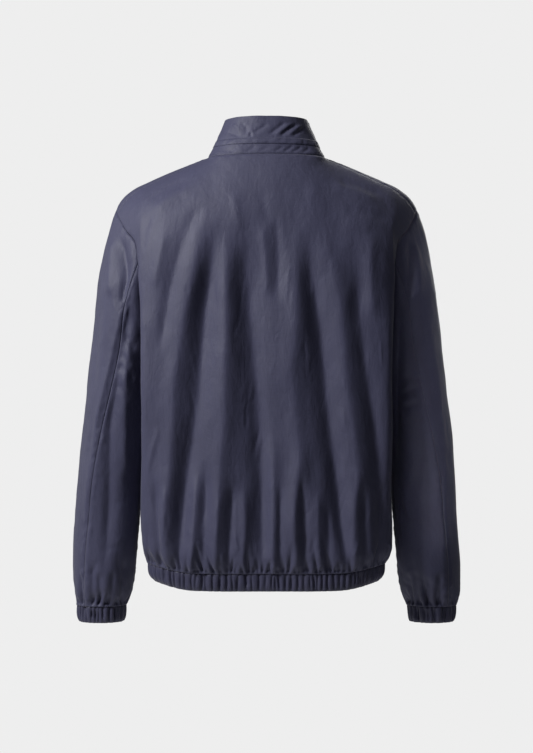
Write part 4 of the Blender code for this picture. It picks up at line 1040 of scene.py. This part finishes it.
def gathered_grid(outline, closed, top_z, draw_in, height, depth, spacing, fullness, seed):
    """A gathered strip round an outline in plan: outer face, lower fold and inner face as one grid.

    top_z and draw_in give the height of its seam and how far its lower edge is drawn in at a place.
    """
    draw = np.random.default_rng(seed)
    lengths = lengths_along(outline)
    total = lengths[-1]
    at = np.linspace(0.0, total, int(round(total / gather_step)) + 1)
    place = read_along(at, lengths, outline)
    ahead, behind = at + turn_over, at - turn_over
    if closed:
        ahead, behind = ahead % total, behind % total
    along = read_along(ahead, lengths, outline) - read_along(behind, lengths, outline)
    along /= np.linalg.norm(along, axis=1, keepdims=True)
    out = np.stack([along[:, 1], -along[:, 0]], axis=-1)
    grooves = np.cumsum(draw.uniform(0.55, 1.45, int(total / spacing)))
    grooves *= total / (grooves[-1] + draw.uniform(0.4, 1.0))
    lean = draw.normal(0, 0.0012, len(grooves))
    bow = draw.normal(0, 0.0007, len(grooves))
    deep = fullness * draw.uniform(0.0020, 0.0046, len(grooves))
    width = draw.uniform(0.0015, 0.0027, len(grooves))
    start_fade, end_fade = (draw.choice([0.0, 0.0, 0.0, 0.35, 0.5], len(grooves)) for _ in range(2))
    profile = [(share, 0.0) for share in np.linspace(0.0, 1.0, 15)]
    profile += [(1.0, turn) for turn in np.linspace(0.5, math.pi - 0.5, 4)]
    profile += [(share, math.pi) for share in np.linspace(1.0, 0.0, 5)]
    base_z = top_z(place)
    rows, inside = [], []
    for share, turn in profile:
        cut = np.zeros(len(at))
        for k, groove in enumerate(grooves):
            middle = groove + lean[k] * (share - 0.5) + bow[k] * math.sin(math.pi * share)
            away = at - middle
            if closed:
                away = (away + total / 2) % total - total / 2
            near = np.abs(away) < groove_reach
            fade = 1 - 0.5 * (ease((start_fade[k] - share) / 0.4) + ease((end_fade[k] - 1 + share) / 0.4))
            cut[near] += deep[k] * fade * np.exp(-((np.abs(away[near]) / width[k]) ** groove_sharpness))
        swell = gather_swell * math.sin(math.pi * share) ** 0.6
        face = swell - cut * (0.45 + 0.55 * math.sin(math.pi * min(max(share, 0.06), 0.94)) ** 0.5)
        follow = 1 - 0.15 * (1 - math.cos(turn))
        distance = face * follow - depth * (1 - math.cos(turn)) / 2 - draw_in(place) * share**4
        z = base_z - share * height - 0.5 * depth * math.sin(turn)
        rows.append(np.column_stack([place + out * (distance - gather_set_in)[:, None], z]))
        inside.append(np.column_stack([place - out * depth / 2, base_z - height / 2]))
    return np.array(rows), np.array(inside)


def whole_hem():
    """The hem in plan, from the left front edge round the back to the right front edge."""
    places = np.linspace(0.0, 1.0, 120)
    front = body_row(-1, places, panel_rows[-1])[:, :2]
    rear = body_row(1, places[::-1], panel_rows[-1])[1:, :2]
    left = np.concatenate([front, rear])
    return np.concatenate([left, left[::-1][1:] * (-1, 1)])


def hem_seam_height(place):
    """The height of the band's seam at places in plan."""
    return hem_z - hem_slope * place[:, 1] + raised_at(place[:, 0])


def hem_drawn_in(place):
    """How far the elastic draws the band's lower edge in, most of all at the sides."""
    return band_drawn_in + side_drawn_in * (np.abs(place[:, 0]) / band_half_width) ** 4


band_grid, band_inside = gathered_grid(
    whole_hem(),
    False,
    hem_seam_height,
    hem_drawn_in,
    band_height,
    band_depth,
    spacing=0.0087,
    fullness=1.2,
    seed=402,
)
band = cloth_object("hem_band_cloth", band_grid, band_inside, band_nylon_painted_shade, wall=folded_wall)
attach(band, "jacket")
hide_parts("hem_band")


# ---- Cuffs ---------------------------------------------------------------------------------------
# Each cuff is made as the hem band is: a folded strip gathered over elastic, joined to a ring.

cuff_height = 0.0250
cuff_depth = 0.0022
cuff_drawn_in = 0.0028
cuff_grids = {}
for side, sign in (("left", 1), ("right", -1)):
    x, y, z, half_width, half_depth, _ = sleeve_rings[-1]
    round_angles = np.linspace(0.0, 360.0, 181)
    outline = np.stack([x + half_width * cosine(round_angles), y + half_depth * sine(round_angles)], axis=-1)
    grid, inside = gathered_grid(
        outline,
        True,
        lambda place: np.full(len(place), z),
        lambda place: cuff_drawn_in,
        cuff_height,
        cuff_depth,
        spacing=0.0083,
        fullness=1.7,
        seed=430 + sign,
    )
    grid, inside = grid * (sign, 1, 1), inside * (sign, 1, 1)
    cuff_grids[side] = grid
    # the cuffs take the band's nylon with its painted shade
    cuff = cloth_object("cuff_cloth_" + side, grid, inside, band_nylon_painted_shade, wall=folded_wall)
    joined = bmesh.new()
    joined.from_mesh(cuff.data)
    bmesh.ops.remove_doubles(joined, verts=joined.verts, dist=1e-6)
    joined.to_mesh(cuff.data)
    joined.free()
    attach(cuff, "jacket")
    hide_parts("cuff_" + side)


# ---- Zip tapes and teeth -------------------------------------------------------------------------
# Knitted tapes sewn behind the front edges, each with its row of moulded teeth. The two rows meet in
# the middle from the band up to the slider near the top of the collar.

tape_wall = 0.0008
tape_inner_x, tape_outer_x = 0.0007, 0.0125
collar_tape_depth, body_tape_depth, band_tape_depth = 0.0026, 0.0012, 0.0040
tape_clearance, tape_slant = 0.0003, 0.0006
tooth_x, tooth_set_back = 0.0012, 0.0004
chain_end = 0.002
tape_parting, tooth_parting = 0.0012, 0.0013
parted_length = 0.016


def front_edge_line():
    """The front edge in side view from the top down: y, z and the depth of the tape behind it."""
    line = []
    first = np.array([0.0])
    for up in np.linspace(1.0, 0.0, 30):
        line.append((*collar_points(-1, first, up)[0, 1:], collar_tape_depth))
    for down in [*np.linspace(0.04, 1.0, 24), *np.linspace(1.02, panel_rows[-1], 50)]:
        line.append((*body_row(-1, first, down)[0, 1:], body_tape_depth))
    y, z = line[-1][:2]
    for share in (0.15, 0.5, 1.0):
        line.append((y, z - share * band_height, band_tape_depth))
    return np.array(line)


def knit_finish(name, colour):
    """A matt ribbed knit."""
    made, tree, place = new_finish(name)
    weave = add_node(tree, "ShaderNodeUVMap", {}, uv_map="weave").outputs["UV"]
    ribs = add_node(tree, "ShaderNodeTexWave", {"Vector": weave, "Scale": 420.0}, bands_direction="X")
    fluff = noise(tree, place, 900.0, 2.0)
    look = {
        "Base Color": shades_of(tree, fluff, colour, 0.7, 1.3),
        "Roughness": 0.8,
        "Normal": relief(tree, ribs.outputs["Fac"], 0.5, 0.0002),
    }
    dress(tree, look)
    return made


tape_knit = knit_finish("tape_knit", (0.022, 0.023, 0.040))
edge_line = front_edge_line()
side_view = edge_line[:, :2]
edge_lengths = lengths_along(side_view)
edge_along = np.gradient(side_view, axis=0)
edge_along /= np.linalg.norm(edge_along, axis=1, keepdims=True)
edge_inward = np.stack([-edge_along[:, 1], edge_along[:, 0]], axis=-1)
parted = ease((parted_length - edge_lengths) / 0.010)
for side, sign in (("left", 1), ("right", -1)):
    grid = []
    for share in np.linspace(0.0, 1.0, 9):
        x = tape_inner_x + tape_parting * parted + (tape_outer_x - tape_inner_x) * share
        behind = edge_line[:, 2] + tape_clearance + tape_slant * share
        yz = side_view + edge_inward * behind[:, None]
        grid.append(np.column_stack([sign * x, yz]))
    grid = np.array(grid).transpose(1, 0, 2)
    tape_inside = grid + np.array([0.0, 0.02, 0.0])
    tape = cloth_object("zip_tape_cloth_" + side, grid, tape_inside, tape_knit, wall=tape_wall)
    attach(tape, "jacket")
    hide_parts("zip_tape_" + side)


def resin_finish(name, colour, roughness):
    """Moulded resin with a slightly uneven, rubbed face."""
    made, tree, place = new_finish(name)
    rub = noise(tree, place, 500.0, 3.0)
    look = {
        "Base Color": shades_of(tree, rub, colour, 0.8, 1.25),
        "Roughness": value_between(tree, rub, roughness - 0.12, roughness + 0.12),
    }
    dress(tree, look)
    return made


def repeated_along(name, lines, finish, tree):
    """A mesh made by a node tree from polylines, given as arrays of points."""
    points = np.concatenate(lines)
    links, first = [], 0
    for line in lines:
        links += [(first + i, first + i + 1) for i in range(len(line) - 1)]
        first += len(line)
    mesh = bpy.data.meshes.new(name + "_path")
    mesh.from_pydata(points.tolist(), links, [])
    guide = add_object(name + "_path", mesh)
    modifier = guide.modifiers.new("repeat", "NODES")
    modifier.node_group = tree
    modifier[tree.interface.items_tree["Finish"].identifier] = finish
    graph = bpy.context.evaluated_depsgraph_get()
    made_mesh = bpy.data.meshes.new_from_object(guide.evaluated_get(graph))
    made_mesh.name = name
    bpy.data.objects.remove(guide)
    return add_object(name, made_mesh)


def along_path_tree(name, shape_kind, sizes):
    """Copies of a small shape set along a path at an even pitch, turned to follow it."""
    tree = bpy.data.node_groups.new(name, "GeometryNodeTree")
    new_socket = tree.interface.new_socket
    new_socket("Geometry", in_out="INPUT", socket_type="NodeSocketGeometry")
    new_socket("Finish", in_out="INPUT", socket_type="NodeSocketMaterial")
    for label, value in sizes.items():
        new_socket(label, in_out="INPUT", socket_type="NodeSocketFloat").default_value = value
    new_socket("Geometry", in_out="OUTPUT", socket_type="NodeSocketGeometry")
    entry = tree.nodes.new("NodeGroupInput").outputs
    path = add_node(tree, "GeometryNodeMeshToCurve", {"Mesh": entry["Geometry"]}).outputs["Curve"]
    spaced = {"Curve": path, "Length": entry["Pitch"]}
    even = add_node(tree, "GeometryNodeResampleCurve", spaced, mode="LENGTH")
    tangent = {"Vector": add_node(tree, "GeometryNodeInputTangent", {}).outputs["Tangent"]}
    turned = add_node(tree, "FunctionNodeAlignRotationToVector", tangent, axis="Z", pivot_axis="X")
    placed = {
        "Points": even.outputs["Curve"],
        "Instance": shape_kind(tree, entry),
        "Rotation": turned.outputs["Rotation"],
    }
    copies = add_node(tree, "GeometryNodeInstanceOnPoints", placed).outputs["Instances"]
    real = add_node(tree, "GeometryNodeRealizeInstances", {"Geometry": copies}).outputs["Geometry"]
    dressed = add_node(tree, "GeometryNodeSetMaterial", {"Geometry": real, "Material": entry["Finish"]})
    add_node(tree, "NodeGroupOutput", {"Geometry": dressed.outputs["Geometry"]})
    return tree


def tooth_shape(tree, entry):
    """A moulded tooth: a block rounded by one step of subdivision."""
    sides = {"X": entry["Tooth width"], "Y": entry["Tooth depth"], "Z": entry["Tooth length"]}
    size = add_node(tree, "ShaderNodeCombineXYZ", sides).outputs["Vector"]
    cuts = {"Size": size, "Vertices X": 3, "Vertices Y": 2, "Vertices Z": 2}
    block = add_node(tree, "GeometryNodeMeshCube", cuts).outputs["Mesh"]
    rounded = add_node(tree, "GeometryNodeSubdivisionSurface", {"Mesh": block, "Level": 1}).outputs["Mesh"]
    return add_node(tree, "GeometryNodeSetShadeSmooth", {"Geometry": rounded}).outputs["Geometry"]


tooth_resin = resin_finish("tooth_resin", (0.020, 0.021, 0.034), 0.42)
tooth_pitch = 0.0025
tooth_start = 0.0012
tooth_sizes = {"Pitch": tooth_pitch, "Tooth width": 0.0038, "Tooth depth": 0.0020, "Tooth length": 0.0017}
tooth_tree = along_path_tree("zip_teeth", tooth_shape, tooth_sizes)
chain_lines = []
for sign, start in ((1, tooth_start), (-1, tooth_start + tooth_pitch / 2)):
    at = np.arange(start, edge_lengths[-1] - chain_end, tooth_pitch / 2)
    spread = np.interp(at, edge_lengths, parted)
    yz = read_along(at, edge_lengths, side_view)
    inward = read_along(at, edge_lengths, edge_inward)
    depth = np.interp(at, edge_lengths, edge_line[:, 2]) - tooth_set_back
    x = sign * (tooth_x + tooth_parting * spread)
    chain_lines.append(np.column_stack([x, yz + inward * depth[:, None]]))
teeth = repeated_along("zip_teeth", chain_lines, tooth_resin, tooth_tree)
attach(teeth, "jacket")


# ---- Slider and pull -----------------------------------------------------------------------------
# Die-cast metal with a dark plated finish. The slider stays at the top of the closed zip, and its
# flat pull hangs from the bail.


def plated_finish(name, colour, roughness):
    """Dark plating, a little lighter and smoother where it is handled, with a fine cast grain."""
    made, tree, place = new_finish(name)
    wear = noise(tree, place, 260.0, 4.0)
    look = {
        "Base Color": shades_of(tree, wear, colour, 1.0, 1.9),
        "Roughness": value_between(tree, wear, roughness + 0.10, roughness - 0.08),
        "Normal": relief(tree, noise(tree, place, 2600.0, 2.0), 0.25, 0.00004),
        "Metallic": 1.0,
    }
    dress(tree, look)
    return made


for name, roughness in (("zip_slider", 0.34), ("zip_pull", 0.30)):
    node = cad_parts[name]
    finish = plated_finish(name + "_plating", (0.055, 0.056, 0.066), roughness)
    for place in range(len(node.material_slots)):
        node.material_slots[place].material = finish
    weld = node.modifiers.new("weld", "WELD")
    weld.merge_threshold = 0.00001
    edges = node.modifiers.new("rounded edges", "BEVEL")
    edges.width = 0.00022
    edges.segments = 2
    edges.limit_method = "ANGLE"
    edges.angle_limit = math.radians(40)


# ---- Stitching -----------------------------------------------------------------------------------
# Matching polyester thread: a row above the lower edge of the band and of each cuff, one on each edge
# of the collar's strip, one beside the neck seam, and a row down each side of the zip.


def thread_finish(name, colour):
    """Twisted polyester thread with a soft shine."""
    made, tree, place = new_finish(name)
    twist = noise(tree, place, 1500.0, 2.0)
    dress(tree, {"Base Color": shades_of(tree, twist, colour, 0.7, 1.3), "Roughness": 0.45})
    return made


def stitch_shape(tree, entry):
    """One stitch: a short six-sided length of thread with rounded ends."""
    bead = {"Segments": 6, "Rings": 4, "Radius": entry["Thread radius"]}
    ball = add_node(tree, "GeometryNodeMeshUVSphere", bead).outputs["Mesh"]
    size = add_node(tree, "ShaderNodeCombineXYZ", {"X": 1.0, "Y": 1.0, "Z": entry["Stitch stretch"]})
    drawn = {"Geometry": ball, "Scale": size.outputs["Vector"]}
    long = add_node(tree, "GeometryNodeTransform", drawn).outputs["Geometry"]
    return add_node(tree, "GeometryNodeSetShadeSmooth", {"Geometry": long}).outputs["Geometry"]


edge_row = 12.0
thread_lift = 0.0001
zip_row_place = 0.020


def row_on(grid, inside, at):
    """A line on a grid of cloth at a fractional row, lifted off its face."""
    low = min(int(at), len(grid) - 2)
    row = grid[low] + (grid[low + 1] - grid[low]) * (at - low)
    return row + cloth_normals(grid, inside)[low] * thread_lift


stitch_rows = [row_on(band_grid, band_inside, edge_row)]
for side, sign in (("left", 1), ("right", -1)):
    grid = cuff_grids[side]
    centre = sleeve_rings[-1, :3] * (sign, 1, 1) - (0, 0, cuff_height / 2)
    stitch_rows.append(row_on(grid, grid * 0 + centre, edge_row))
for grid, at in ((welt_grid, 1.6), (welt_grid, 11.4), (outer, 1.7)):
    stitch_rows.append(row_on(grid, grid * (0, 0, 1), at))
for sign in (1, -1):
    beside_zip = np.array([body_row(-1, np.array([zip_row_place]), down)[0] for down in panel_rows[1:-1]])
    stitch_rows.append(beside_zip * (sign, 1, 1) - (0, seam_hollow + 2 * thread_lift, 0))
stitch_pitch = 0.0028
stitch_sizes = {"Pitch": stitch_pitch, "Thread radius": 0.00022, "Stitch stretch": 5.0}
stitch_tree = along_path_tree("stitches", stitch_shape, stitch_sizes)
navy_thread = thread_finish("navy_thread", (0.060, 0.062, 0.100))
stitches = repeated_along("stitching", stitch_rows, navy_thread, stitch_tree)
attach(stitches, "jacket")


# ---- Studio --------------------------------------------------------------------------------------
# A plain pale floor, a large soft light on the wearer's left, fainter ones above, beside and in front,
# a narrow one on the right sleeve, and the camera straight behind at the height of the jacket's middle.

floor_z = -1.30
floor_radius = 1.25
floor_mesh = bpy.data.meshes.new("floor")
disc = bmesh.new()
bmesh.ops.create_circle(disc, cap_ends=True, segments=96, radius=floor_radius)
bmesh.ops.translate(disc, vec=(0, 0, floor_z), verts=disc.verts)
disc.to_mesh(floor_mesh)
disc.free()
floor = add_object("floor", floor_mesh)
floor_paint, tree, _ = new_finish("floor_paint")
dress(tree, {"Base Color": (0.80, 0.80, 0.80, 1), "Roughness": 0.9})
floor_mesh.materials.append(floor_paint)


def soft_light(name, place, aim, size, power):
    """A rectangular soft box, turned to its aim."""
    data = bpy.data.lights.new(name, "AREA")
    data.shape = "RECTANGLE"
    data.size, data.size_y = size
    data.energy = power
    lamp = add_object(name, data)
    lamp.location = place
    x, y, z = np.array(aim, float) - np.array(place, float)
    lamp.rotation_euler = (math.atan2(math.hypot(x, y), -z), 0, math.atan2(x, -y) + math.pi)
    return lamp


soft_light("key", (1.86, 1.29, 1.04), (0.0, 0.0, -0.30), (0.50, 0.80), 87.0)
soft_light("overhead", (0.3, 0.9, 2.3), (0.0, 0.0, -0.15), (1.6, 0.8), 13.0)
soft_light("fill", (-0.9, 2.8, 0.9), (-0.2, 0.0, -0.35), (1.0, 1.0), 1.5)
soft_light("edge_left", (2.0, -0.9, -0.1), (0.25, 0.0, -0.40), (0.8, 1.8), 7.0)
soft_light("edge_right", (-2.0, -0.9, -0.1), (-0.25, 0.0, -0.40), (0.8, 1.8), 2.5)
soft_light("front_fill", (-1.2, -2.6, 0.8), (0.0, 0.0, -0.35), (1.6, 1.6), 26.0)
sleeve_fill = soft_light(
    "sleeve_fill", (-0.90, 1.85, -0.22), (-0.270, 0.03, -0.365), (0.08, 0.50), 0.045
)
sleeve_fill.data.spread = math.radians(4)

world = bpy.data.worlds.new("studio")
bpy.context.scene.world = world
world.use_nodes = True
tree = world.node_tree
backdrop = tree.nodes["Background"]
backdrop.inputs["Color"].default_value = (0.855, 0.855, 0.855, 1)
room = add_node(tree, "ShaderNodeBackground", {"Color": (0.026, 0.026, 0.031, 1)})
seen = add_node(tree, "ShaderNodeLightPath", {})
blend = add_node(
    tree,
    "ShaderNodeMixShader",
    {0: seen.outputs["Is Camera Ray"], 1: room.outputs[0], 2: backdrop.outputs[0]},
)
tree.links.new(blend.outputs[0], tree.nodes["World Output"].inputs["Surface"])

lens_data = bpy.data.cameras.new("camera")
lens_data.lens = 95.46
lens_data.sensor_width = 36.0
camera = add_object("camera", lens_data)
camera.location = (0.0, 3.2, -0.357)
camera.rotation_euler = (math.radians(90), 0, math.radians(180))
bpy.context.scene.camera = camera
bpy.context.scene.view_settings.view_transform = "Standard"
